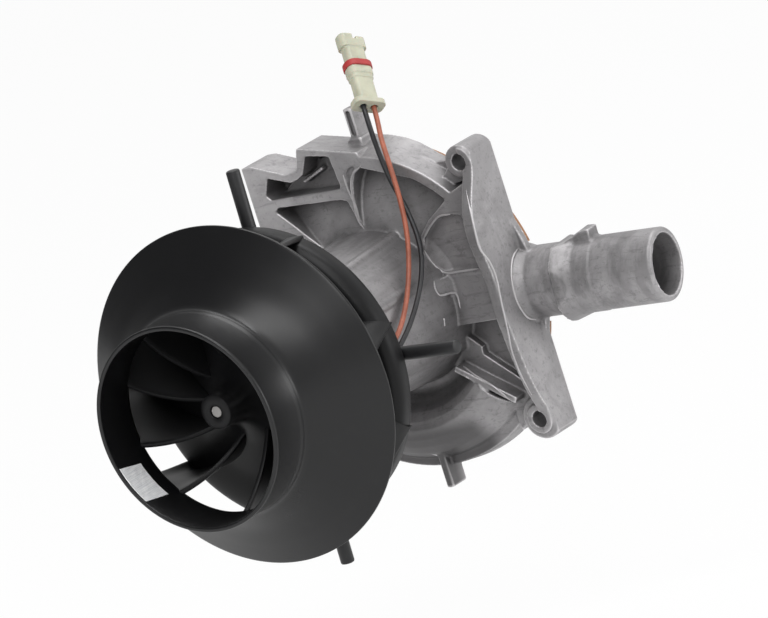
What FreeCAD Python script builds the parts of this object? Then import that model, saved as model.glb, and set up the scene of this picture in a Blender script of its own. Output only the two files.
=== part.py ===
"""DC blower fan of a vehicle air heater: a black mixed-flow fan wheel on the front end of the
motor shaft, a motor in the nose of a die-cast housing, and a small combustion-air impeller
in a chamber at the rear. Millimetres.

Frame: the origin is where the motor axis meets the flange's mounting plane.
+X points to the hose nozzle's side, +Y runs along the motor axis out of the flange's rear,
+Z is up. Everything that faces the fan wheel has a negative Y.
"""

import FreeCAD
import Part
import math
import os

V = FreeCAD.Vector
AXIS = V(0, 1, 0)

# Fan wheel: stations along the motor axis (Y) and radii
RIM_Y = -100.0
RIM_R = 57.0
COLLAR_FRONT_Y = -134.0
COLLAR_R = 34.4
THROAT_Y = -118.6
WHEEL_WALL = 1.4
HUB_REAR_Y = -78.9
HUB_R = 49.5
HUB_LIP_Y = -85.8
HUB_WALL = 1.8
BOSS_R = 5.2
BOSS_FRONT_Y = -117.2
BOSS_REAR_Y = -92.0
BLADE_THICK = 1.7
BLADE_PITCHES = (48.0, 41.0, 39.0, 39.0, 44.0, 35.0, 36.0, 33.0, 45.0)
BLADE_FIRST = 59.5
BLADE_WRAP_HUB = 40.0
BLADE_WRAP_SHROUD = 23.1
BLADE_LEAN = 4.5
SEAM = 0.05
FOIL_ANGLES = (198.0, 222.0)
FOIL_THICK = 0.3
FOIL_MARGIN = 0.8
FOIL_LENGTH = 10.4

# Shaft and motor
SHAFT_R = 2.1
SHAFT_FRONT_Y = -116.6
SHAFT_REAR_Y = 0.6
RUN_CLEARANCE = 0.05
MOTOR_BORE_R = 21.0
CAN_GAP = 0.1
CAN_WALL = 1.2
CAN_FRONT_Y = -67.0
CAN_REAR_Y = -20.0
CAP_THICK = 2.0
CAP_HUB_R = 8.4
CAP_HUB_LENGTH = 2.2
BEARING_R = 6.0
BEARING_WIDTH = 4.0
BEARING_RACE = 1.3
MAGNET_THICK = 4.0
MAGNET_ARC = 128.0
MAGNET_FRONT_Y = -57.0
MAGNET_REAR_Y = -29.0
AIR_GAP = 0.6
CORE_FRONT_Y = -56.0
CORE_REAR_Y = -30.0
CORE_SLOTS = 8
SLOT_WIDTH = 3.2
SLOT_DEPTH = 7.0
CORE_HUB_R = 6.0
COIL_END = 3.0
COMMUTATOR_R = 5.0
COMMUTATOR_FRONT_Y = -66.0
COMMUTATOR_REAR_Y = -60.2
BRUSH_SIZE = (5.0, 3.4, 7.0)
HOLDER_R = 7.0
SPRING_LEAF = 0.35
SPRING_WIDTH = 3.0
SPRING_FOLDS = 4

# Combustion-air side
IMPELLER_R = 40.0
IMPELLER_FRONT_Y = -5.2
IMPELLER_DISC = 2.2
IMPELLER_VANES = 24
VANE_HEIGHT = 2.4
VANE_THICK = 1.2
VANE_INNER_R = 27.0
CHAMBER_R = 41.0
CHAMBER_FRONT_Y = -6.0
CHAMBER_REAR_Y = 1.6
COVER_R = 46.2
COVER_THICK = 2.4
COVER_GASKET = 0.4
COVER_SCREWS = 6
COVER_SCREW_CIRCLE_R = 43.6
COVER_SCREW_R = 1.3
CHANNEL_R = 37.4
CHANNEL_TUBE_R = 3.4
CHANNEL_ANGLES = (5.0, 290.0)
SPIGOT_R = 48.0
SPIGOT_LENGTH = 6.0
SEAL_R = 53.2
SEAL_INNER_R = 50.6
SEAL_THICK = 1.5
FLANGE_Y = -SEAL_THICK

# Cast housing
FRONT_Y = -17.0
FLOOR_Y = -8.0
DRUM_FRONT_R = 52.8
DRUM_REAR_R = 53.8
BULGE_Y = -4.4
CROWN_REAR_R = (53.8, 54.4, 55.0, 55.4, 55.6, 55.8, 56.0)
CROWN_ANGLES = (58.0, 62.0, 66.0, 70.0, 74.0, 78.0, 84.0)
BAND_WALL = 3.4
NOSE_FRONT_Y = -69.0
NOSE_FRONT_R = 24.1
NOSE_FLOOR_R = 28.2
NOSE_STREAK_ANGLES = (20.0, 62.0, 104.0, 146.0, 205.0, 265.0, 322.0)
UPPER_SCREW = (45.0, 44.0)
LOWER_SCREW = (45.0, -45.0)
LEFT_SCREW = (-45.0, -45.0)
SCREW_HOLE_R = 2.8
SCREW_BOSS_R = 5.0
SCREW_BOSS_Y = -14.8
SIDE_WALL = 4.2
LOBE_ANGLES = (-165.0, -47.5)
APRON_R = 58.3
APRON_FRONT_Y = -9.0
BAR_START = (-20.8, 45.4)
BAR_END = (-11.8, 48.9)

# Hose nozzle: where its axis crosses the root, how it leans, and its stations along the axis
NOZZLE_ROOT = V(48.0, -1.1, -2.6)
NOZZLE_LEAN_BACK = 7.9
NOZZLE_DROP = 3.4
NOZZLE_LENGTH = 50.3
NOZZLE_R = 12.25
NOZZLE_ROOT_R = 11.9
FOOT_FLARE = 1.2
FOOT_END = 3.6
NOZZLE_BORE_R = 10.2
NOZZLE_BORE_DEPTH = 46.0
NOZZLE_LIP = 1.2
STOP_AT = 14.2
STOP_R = 14.5
STOP_FLAT = 13.0
STOP_TOP = 12.4
STOP_RIDGE_AT = 21.8
CATCH_START = 14.0
CATCH_TOP = 24.0
CATCH_END = 27.0
CATCH_HEIGHT = 15.8
CATCH_WIDTH = 7.0
PORT_R = 2.2
PORT_Y = -4.2

# Support cross in front of the motor
CROSS_Y = -73.9
CROSS_TURN = -1.7
ROD_REACH = 67.4
ROD_R = 2.3
ROD_SEAT_R = 6.0
CROSS_HUB_R = 12.0
CROSS_HUB_FRONT_Y = -77.6
CROSS_HUB_BORE_R = 4.0

# Leads and connector
LEAD_R = 0.85
CONNECTOR_BASE = V(15.1, -12.5, 67.0)
CONNECTOR_UP = V(-0.4056, 0.563, 0.7116)
CONNECTOR_WIDE = V(0.3792, 0.8318, -0.4069)
CONNECTOR_LENGTH = 28.6
CONNECTOR_SIZE = (7.2, 4.6)
FLANGE_SIZE = (11.4, 6.2)
FLANGE_THICK = 1.9
SHOULDER_SIZE = (8.9, 6.1)
SHOULDER_AT = 12.4
SEAL_AT = 15.2
SEAL_SIZE = (9.8, 7.2)
SEAL_WIDTH = 2.2
MOUTH_SIZE = (9.5, 5.2)
MOUTH_AT = 23.6
PIN_PITCH = 4.0
TERMINAL_SIZE = (2.0, 0.8)
RED_ROUTE = [
    V(19.6, -17.3, 56.6),
    V(22.9, -21.3, 46.5),
    V(24.9, -24.3, 35.5),
    V(26.3, -28.0, 25.8),
    V(26.6, -33.0, 16.0),
    V(27.9, -41.0, 7.5),
    V(29.4, -50.5, 0.9),
    V(28.2, -58.0, -3.4),
    V(21.4, -66.0, -6.1),
]
BLACK_ROUTE = [
    V(16.9, -17.4, 54.6),
    V(19.6, -19.5, 43.5),
    V(26.2, -23.5, 32.4),
    V(30.9, -28.8, 21.5),
    V(30.6, -33.5, 12.0),
    V(30.6, -41.0, 5.0),
    V(30.6, -49.0, -0.6),
    V(27.6, -57.5, -7.2),
    V(20.0, -66.0, -9.8),
]
GROMMET_R = 26.6
GROMMET_ANGLES = (-34.0, -7.0)
GROMMET_REAR_Y = -58.5


def polar(radius, angle, y=0.0):
    """Point at a radius and an angle from +X towards +Z, at station y."""
    a = math.radians(angle)
    return V(radius * math.cos(a), y, radius * math.sin(a))


def scaled(vector, length):
    return V(vector.x * length, vector.y * length, vector.z * length)


def disc(radius, y0, y1):
    return Part.makeCylinder(radius, y1 - y0, V(0, y0, 0), AXIS)


def ring(outer, inner, y0, y1):
    return disc(outer, y0, y1).cut(disc(inner, y0 - 1, y1 + 1))


def post(x, z, radius, y0, y1):
    return Part.makeCylinder(radius, y1 - y0, V(x, y0, z), AXIS)


def block(x0, x1, y0, y1, z0, z1):
    return Part.makeBox(x1 - x0, y1 - y0, z1 - z0, V(x0, y0, z0))


def plate(outline, y0, y1):
    """Outline in X and Z, carried from y0 to y1."""
    points = [V(x, y0, z) for x, z in outline]
    wire = Part.makePolygon(points + points[:1])
    return Part.Face(wire).extrude(V(0, y1 - y0, 0))


def turned(profile):
    """Closed outline of (radius, y) corners turned about the motor axis."""
    points = [V(r, y, 0) for r, y in profile]
    wire = Part.makePolygon(points + points[:1])
    return Part.Face(wire).revolve(V(0, 0, 0), AXIS, 360)


def curve(points):
    spline = Part.BSplineCurve()
    spline.interpolate([V(r, y, 0) for r, y in points])
    return spline


def turned_band(near, far):
    """Solid between two meridian curves, given as (radius, y) points in the same order."""
    a = curve(near)
    b = curve(far)
    edges = [
        a.toShape(),
        Part.makeLine(V(*a.EndPoint), V(*b.EndPoint)),
        b.toShape(),
        Part.makeLine(V(*b.StartPoint), V(*a.StartPoint)),
    ]
    wire = Part.Wire(Part.__sortEdges__(edges))
    return Part.Face(wire).revolve(V(0, 0, 0), AXIS, 360)


def sector(radius, angle0, angle1, y0, y1):
    """Wedge about the motor axis, used to keep part of a ring."""
    steps = max(2, int((angle1 - angle0) / 40) + 1)
    turn = (angle1 - angle0) / steps
    outline = [(0.0, 0.0)]
    for i in range(steps + 1):
        p = polar(radius, angle0 + i * turn)
        outline.append((p.x, p.z))
    return plate(outline, y0, y1)


def fused(shapes):
    return shapes[0].multiFuse(shapes[1:]).removeSplitter()


# Fan wheel

SHROUD_INNER = [
    (COLLAR_R - WHEEL_WALL, THROAT_Y),
    (COLLAR_R + 0.4, THROAT_Y + 3.2),
    (COLLAR_R + 6.8, THROAT_Y + 9.2),
    (COLLAR_R + 14.4, THROAT_Y + 14.4),
    (RIM_R - 1.0, RIM_Y),
]
SHROUD_OUTER = [
    (COLLAR_R, THROAT_Y),
    (COLLAR_R + 2.0, THROAT_Y + 2.6),
    (COLLAR_R + 8.0, THROAT_Y + 8.0),
    (COLLAR_R + 15.4, THROAT_Y + 13.1),
    (RIM_R, RIM_Y - 0.9),
]
HUB_FRONT = [
    (BOSS_R, BOSS_FRONT_Y + 4.0),
    (BOSS_R + 3.2, BOSS_FRONT_Y + 11.2),
    (BOSS_R + 12.0, BOSS_FRONT_Y + 19.0),
    (BOSS_R + 26.5, BOSS_FRONT_Y + 26.0),
    (HUB_R - 3.4, HUB_LIP_Y - 1.6),
    (HUB_R, HUB_LIP_Y + 1.2),
]


def wheel_shroud():
    cone = turned_band(SHROUD_OUTER, SHROUD_INNER)
    collar = ring(COLLAR_R, COLLAR_R - WHEEL_WALL, COLLAR_FRONT_Y, THROAT_Y)
    lip = Part.makeTorus(COLLAR_R - WHEEL_WALL / 2, WHEEL_WALL / 2, V(0, COLLAR_FRONT_Y, 0), AXIS)
    return fused([collar, cone, lip])


def hub_rear():
    return [(max(r - 0.45 * HUB_WALL, BOSS_R), y + HUB_WALL) for r, y in HUB_FRONT]


def meridian_point(points, share):
    spline = curve(points)
    first, last = spline.FirstParameter, spline.LastParameter
    return spline.value(first + share * (last - first))


def blade(angle):
    """One blade: thin cross-sections from the leading to the trailing edge, lofted."""
    hub_path = HUB_FRONT[1:] + [(HUB_R, HUB_REAR_Y)]
    sections = []
    count = 7
    for i in range(count):
        s = i / (count - 1)
        h = meridian_point(hub_path, 0.12 + 0.88 * s)
        t = meridian_point(SHROUD_INNER, s)
        swing_h = angle + BLADE_WRAP_HUB * (1 - s) ** 1.3
        swing_t = angle - BLADE_LEAN + BLADE_WRAP_SHROUD * (1 - s) ** 1.2
        low = polar(h.x - 1.0, swing_h, h.y + 0.9)
        high = polar(t.x + 1.2, swing_t, t.y - 1.0)
        span = high.sub(low)
        middle = low.add(span.multiply(0.5))
        around = V(-middle.z, 0, middle.x)
        span = high.sub(low).normalize()
        along = V(middle.x, 0, middle.z).normalize().multiply(0.55).add(V(0, 0.6, 0))
        side = span.cross(along.sub(around.normalize().multiply(0.45))).normalize()
        half = side.multiply(BLADE_THICK / 2)
        corners = [low.add(half), high.add(half), high.sub(half), low.sub(half)]
        sections.append(Part.makePolygon(corners + corners[:1]))
    return Part.makeLoft(sections, True, False)


def blade_angles():
    angles = []
    angle = BLADE_FIRST
    for pitch in BLADE_PITCHES:
        angles.append(angle)
        angle -= pitch
    return angles


def passage():
    """Room between hub and shroud that the blades fill from wall to wall."""
    shroud = curve([(r - SEAM, y) for r, y in SHROUD_INNER])
    hub = curve(HUB_FRONT)
    edges = [
        shroud.toShape(),
        Part.makeLine(V(*shroud.EndPoint), V(RIM_R - 1.4, RIM_Y + 1.0, 0)),
        Part.makeLine(V(RIM_R - 1.4, RIM_Y + 1.0, 0), V(HUB_R + 0.2, HUB_REAR_Y, 0)),
        Part.makeLine(V(HUB_R + 0.2, HUB_REAR_Y, 0), V(HUB_R, HUB_REAR_Y, 0)),
        Part.makeLine(V(HUB_R, HUB_REAR_Y, 0), V(*hub.EndPoint)),
        hub.toShape(),
        Part.makeLine(V(*hub.StartPoint), V(*shroud.StartPoint)),
    ]
    wire = Part.Wire(Part.__sortEdges__(edges))
    return Part.Face(wire).revolve(V(0, 0, 0), AXIS, 360)


def wheel_hub():
    skin = turned_band(HUB_FRONT, hub_rear())
    lip = ring(HUB_R, HUB_R - HUB_WALL, HUB_LIP_Y + 1.2, HUB_REAR_Y)
    boss = disc(BOSS_R, BOSS_FRONT_Y, BOSS_REAR_Y)
    room = passage()
    blades = [blade(a).common(room) for a in blade_angles()]
    whole = fused([boss, skin, lip] + blades)
    bore = disc(SHAFT_R, BOSS_FRONT_Y - 1, BOSS_REAR_Y + 1)
    return whole.cut(bore)


def balance_foil():
    outer = COLLAR_R - WHEEL_WALL
    start = COLLAR_FRONT_Y + FOIL_MARGIN
    band = ring(outer, outer - FOIL_THICK, start, start + FOIL_LENGTH)
    return band.common(sector(outer + 5, FOIL_ANGLES[0], FOIL_ANGLES[1], COLLAR_FRONT_Y, THROAT_Y))


# Motor

def motor_shaft():
    shaft = disc(SHAFT_R, SHAFT_FRONT_Y, SHAFT_REAR_Y)
    ends = [e for e in shaft.Edges if isinstance(e.Curve, Part.Circle)]
    return shaft.makeChamfer(0.3, ends)


def motor_can():
    outer = MOTOR_BORE_R - CAN_GAP
    shell = turned([
        (outer, CAN_FRONT_Y),
        (outer, CAN_REAR_Y),
        (BEARING_R, CAN_REAR_Y),
        (BEARING_R, CAN_REAR_Y - CAN_WALL),
        (outer - CAN_WALL, CAN_REAR_Y - CAN_WALL),
        (outer - CAN_WALL, CAN_FRONT_Y),
    ])
    seat = ring(BEARING_R + 1.2, BEARING_R, CAN_REAR_Y - BEARING_WIDTH - CAN_WALL, CAN_REAR_Y)
    return fused([shell, seat])


def magnet(side):
    outer = MOTOR_BORE_R - CAN_GAP - CAN_WALL
    band = ring(outer, outer - MAGNET_THICK, MAGNET_FRONT_Y, MAGNET_REAR_Y)
    middle = 90.0 * side
    half = MAGNET_ARC / 2
    keep = sector(outer + 15, middle - half, middle + half, MAGNET_FRONT_Y, MAGNET_REAR_Y)
    return band.common(keep)


def bearing(y0):
    """Deep-groove ball bearing: two races, a ring of balls and the fit of its bore."""
    inner = SHAFT_R
    y1 = y0 + BEARING_WIDTH
    mid = (inner + BEARING_R) / 2
    ball = (BEARING_R - inner) / 2 - BEARING_RACE / 2 - 0.1
    groove = Part.makeTorus(mid, ball + 0.02, V(0, (y0 + y1) / 2, 0), AXIS)
    outer_race = ring(BEARING_R, BEARING_R - BEARING_RACE, y0, y1).cut(groove)
    return outer_race, ring(inner + BEARING_RACE, inner + RUN_CLEARANCE, y0, y1).cut(groove)


def core_radius():
    return MOTOR_BORE_R - CAN_GAP - CAN_WALL - MAGNET_THICK - AIR_GAP


def slot_cut(index, y0, y1, width, top):
    angle = 360.0 / CORE_SLOTS * index
    radius = core_radius()
    cut = block(radius - SLOT_DEPTH, top, y0, y1, -width / 2, width / 2)
    cut.rotate(V(0, 0, 0), AXIS, -angle)
    return cut


def armature_core():
    core = disc(core_radius(), CORE_FRONT_Y, CORE_REAR_Y)
    for i in range(CORE_SLOTS):
        core = core.cut(slot_cut(i, CORE_FRONT_Y - 1, CORE_REAR_Y + 1, SLOT_WIDTH, core_radius() + 1))
    return core.cut(disc(SHAFT_R, CORE_FRONT_Y - 1, CORE_REAR_Y + 1))


def armature_windings():
    radius = core_radius() - 1.2
    heads = []
    for y0, y1 in ((CORE_FRONT_Y - COIL_END, CORE_FRONT_Y), (CORE_REAR_Y, CORE_REAR_Y + COIL_END)):
        head = ring(radius, CORE_HUB_R, y0, y1)
        edges = [e for e in head.Edges if isinstance(e.Curve, Part.Circle) and e.Curve.Radius > CORE_HUB_R + 1]
        heads.append(head.makeChamfer(0.9, edges))
    bars = []
    for i in range(CORE_SLOTS):
        bars.append(slot_cut(i, CORE_FRONT_Y, CORE_REAR_Y, SLOT_WIDTH, radius))
    whole = fused(heads + bars)
    return whole


def commutator():
    body = ring(COMMUTATOR_R, SHAFT_R, COMMUTATOR_FRONT_Y, COMMUTATOR_REAR_Y)
    for i in range(CORE_SLOTS):
        gap = block(COMMUTATOR_R - 1.0, COMMUTATOR_R + 1, COMMUTATOR_FRONT_Y - 1, COMMUTATOR_REAR_Y - 0.8, -0.2, 0.2)
        gap.rotate(V(0, 0, 0), AXIS, -360.0 / CORE_SLOTS * (i + 0.5))
        body = body.cut(gap)
    riser = ring(COMMUTATOR_R + 1.0, SHAFT_R, COMMUTATOR_REAR_Y - 0.8, COMMUTATOR_REAR_Y)
    return fused([body, riser])


def brush(side):
    wide, along, high = BRUSH_SIZE
    mid = (COMMUTATOR_FRONT_Y + COMMUTATOR_REAR_Y) / 2 - 0.4
    start = COMMUTATOR_R + RUN_CLEARANCE
    body = block(start - 0.5, start + high, mid - along / 2, mid + along / 2, -wide / 2, wide / 2)
    body = body.cut(disc(start, mid - along, mid + along))
    if side < 0:
        body.rotate(V(0, 0, 0), AXIS, 180)
    return body


def box_end():
    return MOTOR_BORE_R - CAN_GAP - CAN_WALL - 0.6


def cap_front():
    return CAN_FRONT_Y - CAP_THICK


def brush_holder():
    """Front end cap of the motor with the two brush boxes and the bearing seat."""
    outer = MOTOR_BORE_R - CAN_GAP
    back = CAN_FRONT_Y
    front = cap_front()
    cap = disc(outer, front, back)
    collar = ring(CAP_HUB_R, BEARING_R, front - CAP_HUB_LENGTH, back)
    cap = cap.cut(disc(BEARING_R, front - 1, back + 1))
    wide, along, high = BRUSH_SIZE
    mid = (COMMUTATOR_FRONT_Y + COMMUTATOR_REAR_Y) / 2 - 0.4
    boxes = []
    for turn in (0, 180):
        outside = block(HOLDER_R, box_end(), back, mid + along / 2 + 1, -wide / 2 - 1, wide / 2 + 1)
        inside = block(HOLDER_R - 1, box_end() - 1.0, mid - along / 2, mid + along / 2, -wide / 2, wide / 2)
        box = outside.cut(inside)
        box.rotate(V(0, 0, 0), AXIS, turn)
        boxes.append(box)
    return fused([cap, collar] + boxes)


def brush_spring(side):
    """Folded leaf that pushes the brush on to the commutator."""
    wide, along, high = BRUSH_SIZE
    mid = (COMMUTATOR_FRONT_Y + COMMUTATOR_REAR_Y) / 2 - 0.4
    start = COMMUTATOR_R + RUN_CLEARANCE + high
    step = (box_end() - 1.0 - SPRING_LEAF - start) / SPRING_FOLDS
    swing = along / 2 - 0.4
    folds = []
    for i in range(SPRING_FOLDS):
        side_y = swing if i % 2 else -swing
        x = start + i * step
        corners = [
            V(x, mid + side_y, -SPRING_WIDTH / 2),
            V(x + SPRING_LEAF, mid + side_y, -SPRING_WIDTH / 2),
            V(x + step + SPRING_LEAF, mid - side_y, -SPRING_WIDTH / 2),
            V(x + step, mid - side_y, -SPRING_WIDTH / 2),
        ]
        folds.append(Part.Face(Part.makePolygon(corners + corners[:1])).extrude(V(0, 0, SPRING_WIDTH)))
    leaf = fused(folds)
    if side < 0:
        leaf.rotate(V(0, 0, 0), AXIS, 180)
    return leaf


# Combustion-air side

def combustion_impeller():
    back = IMPELLER_FRONT_Y + VANE_HEIGHT
    body = disc(IMPELLER_R, back, back + IMPELLER_DISC)
    boss = disc(6.0, IMPELLER_FRONT_Y + 0.6, back + IMPELLER_DISC)
    vanes = []
    for i in range(IMPELLER_VANES):
        vane = block(VANE_INNER_R, IMPELLER_R - 0.4, IMPELLER_FRONT_Y, back, -VANE_THICK / 2, VANE_THICK / 2)
        vane.rotate(V(0, 0, 0), AXIS, -360.0 / IMPELLER_VANES * i)
        vanes.append(vane)
    return fused([body, boss] + vanes).cut(disc(SHAFT_R, IMPELLER_FRONT_Y - 1, back + IMPELLER_DISC + 1))


def rear_cover():
    y0 = CHAMBER_REAR_Y + COVER_GASKET
    cover = disc(COVER_R, y0, y0 + COVER_THICK)
    for p in screw_places():
        cover = cover.cut(post(p.x, p.z, COVER_SCREW_R + 0.1, y0 - 1, y0 + COVER_THICK + 1))
    return cover


def screw_places():
    return [polar(COVER_SCREW_CIRCLE_R, 30 + 360.0 / COVER_SCREWS * i) for i in range(COVER_SCREWS)]


def cover_gasket():
    gasket = ring(COVER_R, CHAMBER_R + 0.4, CHAMBER_REAR_Y, CHAMBER_REAR_Y + COVER_GASKET)
    for p in screw_places():
        gasket = gasket.cut(post(p.x, p.z, COVER_SCREW_R + 0.1, CHAMBER_REAR_Y - 1, CHAMBER_REAR_Y + 2))
    return gasket


def cover_screw(place):
    top = CHAMBER_REAR_Y + COVER_GASKET + COVER_THICK
    head = post(place.x, place.z, 2.4, top, top + 1.4)
    socket = post(place.x, place.z, 1.1, top + 0.5, top + 2)
    shank = post(place.x, place.z, COVER_SCREW_R, CHAMBER_REAR_Y - 5.0, top)
    return fused([head, shank]).cut(socket)


def impeller_clip():
    y0 = IMPELLER_FRONT_Y + VANE_HEIGHT + IMPELLER_DISC
    clip = ring(4.4, SHAFT_R, y0, y0 + 0.8)
    return clip.cut(block(-6, 0, y0 - 1, y0 + 2, -1.2, 1.2))


# Cast housing

def nozzle_direction():
    lean = math.radians(NOZZLE_LEAN_BACK)
    drop = math.radians(NOZZLE_DROP)
    return V(math.cos(lean) * math.cos(drop), math.sin(lean), -math.cos(lean) * math.sin(drop))


def along_nozzle(distance):
    return NOZZLE_ROOT.add(nozzle_direction().multiply(distance))


def tube_on_nozzle(radius, start, end):
    return Part.makeCylinder(radius, end - start, along_nozzle(start), nozzle_direction())


def nozzle_outside():
    d = nozzle_direction()
    mate = disc(SPIGOT_R + 1.2, FLANGE_Y, 30)
    root = tube_on_nozzle(NOZZLE_ROOT_R, -6.0, STOP_AT).cut(mate)
    seat = tube_on_nozzle(NOZZLE_R + 0.2, STOP_AT, CATCH_END + 0.3)
    tube = tube_on_nozzle(NOZZLE_R, STOP_AT, NOZZLE_LENGTH)
    rims = [e for e in tube.Edges if isinstance(e.Curve, Part.Circle)]
    far = max(rims, key=lambda e: e.Curve.Center.dot(d))
    tube = tube.makeFillet(NOZZLE_LIP, [far])
    stop = Part.makeCone(STOP_R, NOZZLE_R, STOP_RIDGE_AT - STOP_AT, along_nozzle(STOP_AT), d)
    side = V(0, 1, 0).sub(V(d.x, d.y, d.z).multiply(d.y)).normalize()
    up = d.cross(side).normalize()
    if up.z < 0:
        up = up.multiply(-1)
    flats = Part.makeBox(STOP_RIDGE_AT - STOP_AT + 2, 2 * STOP_FLAT, 2 * STOP_R + STOP_TOP)
    turn = FreeCAD.Matrix(d.x, side.x, up.x, 0, d.y, side.y, up.y, 0, d.z, side.z, up.z, 0, 0, 0, 0, 1)
    corner = along_nozzle(STOP_AT - 1)
    flats = flats.transformGeometry(turn)
    flats.translate(corner.sub(V(side.x, side.y, side.z).multiply(STOP_FLAT)).sub(V(up.x, up.y, up.z).multiply(2 * STOP_R)))
    stop = stop.common(flats)
    catch_points = []
    for at, height in ((CATCH_START, NOZZLE_ROOT_R - 1), (CATCH_TOP, CATCH_HEIGHT), (CATCH_END, CATCH_HEIGHT),
                       (CATCH_END, NOZZLE_R - 1)):
        lift = V(up.x, up.y, up.z).multiply(height)
        catch_points.append(along_nozzle(at).add(lift).sub(V(side.x, side.y, side.z).multiply(CATCH_WIDTH / 2)))
    catch = Part.Face(Part.makePolygon(catch_points + catch_points[:1]))
    catch = catch.extrude(V(side.x, side.y, side.z).multiply(CATCH_WIDTH))
    foot = Part.makeCone(NOZZLE_ROOT_R + FOOT_FLARE, NOZZLE_ROOT_R, FOOT_END - 0.6, along_nozzle(0.6), d)
    foot = foot.cut(mate)
    return [root, seat, tube, stop, catch, foot]


def nozzle_inside():
    bore = tube_on_nozzle(NOZZLE_BORE_R, NOZZLE_LENGTH - NOZZLE_BORE_DEPTH, NOZZLE_LENGTH + 2)
    start = V(CHAMBER_R - 4, PORT_Y, NOZZLE_ROOT.z)
    port = Part.makeCylinder(PORT_R, 20, start, V(1, 0, 0))
    return [bore, port]


LEFT_BLOCK = [
    (-40.0, 16.0), (-40.0, 55.2), (-36.0, 55.2), (-22.8, 50.4), (-18.0, 51.4), (-15.7, 58.5),
    (7.9, 53.7), (8.6, 51.0), (8.8, 49.4), (4.8, 47.4), (2.7, 44.0), (1.4, 39.3), (1.0, 34.3),
    (1.3, 30.6), (1.8, 25.0), (-10.0, 20.0),
]
UPPER_POCKET = [
    (-30.8, 50.4), (-23.5, 48.0), (-21.8, 47.6), (-18.8, 48.3), (-16.2, 49.6), (-13.0, 55.5),
    (-3.7, 54.0), (-2.8, 43.9), (-3.1, 42.7), (-31.8, 42.9), (-33.5, 44.7),
]
LOWER_POCKET = [
    (-30.3, 40.0), (-4.4, 39.0), (-1.8, 38.2), (0.1, 30.5), (-2.4, 25.0), (-14.0, 21.0), (-22.7, 29.6),
    (-24.8, 31.9), (-31.6, 38.7),
]
RIB_GROOVE = [
    (6.9, 49.7), (2.7, 49.0), (1.0, 47.3), (0.3, 43.4), (-0.2, 38.3), (0.3, 34.4), (0.5, 39.4),
    (1.9, 44.2), (3.7, 47.4),
]
RIGHT_WEB = [
    (20.0, -9.3), (20.9, 17.2), (22.9, 22.7), (27.7, 27.3), (33.0, 30.6), (40.5, 35.5), (47.0, 38.0),
    (47.0, -9.3),
]
RIGHT_POCKET = [
    (24.0, 21.7), (28.6, 26.0), (34.0, 28.5), (40.9, 27.1), (42.8, 18.9), (41.9, 8.6), (26.2, 9.2),
    (22.3, 17.3),
]
LOWER_SHELF = [
    (14.0, -10.0), (23.5, -14.0), (28.6, -18.9), (28.2, -21.4), (35.7, -27.9), (41.5, -33.0),
    (38.0, -38.0), (10.0, -20.0),
]
WALL_FRONT = [
    (-15.2, 50.0), (-15.2, 42.5), (-16.8, 39.0), (-19.4, 35.0), (-23.6, 25.8), (-24.0, 17.5), (-22.2, 5.9),
    (-22.2, -4.6), (-21.2, -17.7), (-18.4, -33.8), (-15.6, -41.0), (-15.2, -50.0),
]


def side_plate():
    """Wall that carries the nozzle, with its waved front edge between the two bosses."""
    edge = UPPER_SCREW[0] + SCREW_BOSS_R
    front = Part.BSplineCurve()
    front.interpolate([V(edge - SIDE_WALL, y, z) for y, z in WALL_FRONT[1:-1]])
    y_a, z_a = WALL_FRONT[0]
    y_b, z_b = WALL_FRONT[-1]
    corner = SCREW_BOSS_R
    x = edge - SIDE_WALL
    edges = [
        front.toShape(),
        Part.makeLine(V(x, WALL_FRONT[-2][0], WALL_FRONT[-2][1]), V(x, y_b, z_b)),
        Part.makeLine(V(x, y_b, z_b), V(x, FLANGE_Y, z_b)),
        Part.makeLine(V(x, FLANGE_Y, z_b), V(x, FLANGE_Y, z_a)),
        Part.makeLine(V(x, FLANGE_Y, z_a), V(x, y_a, z_a)),
        Part.makeLine(V(x, y_a, z_a), V(x, WALL_FRONT[1][0], WALL_FRONT[1][1])),
    ]
    wire = Part.Wire(Part.__sortEdges__(edges))
    wall = Part.Face(wire).extrude(V(SIDE_WALL, 0, 0))
    top = UPPER_SCREW[1] + corner
    foot = LOWER_SCREW[1] - corner
    rounding = fused([
        block(-edge, edge - corner, -40, 1, foot, top),
        block(-edge, edge, -40, 1, foot + corner, top - corner),
        post(UPPER_SCREW[0], UPPER_SCREW[1], corner, -40, 1),
        post(LOWER_SCREW[0], LOWER_SCREW[1], corner, -40, 1),
    ])
    return wall.common(rounding)


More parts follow.
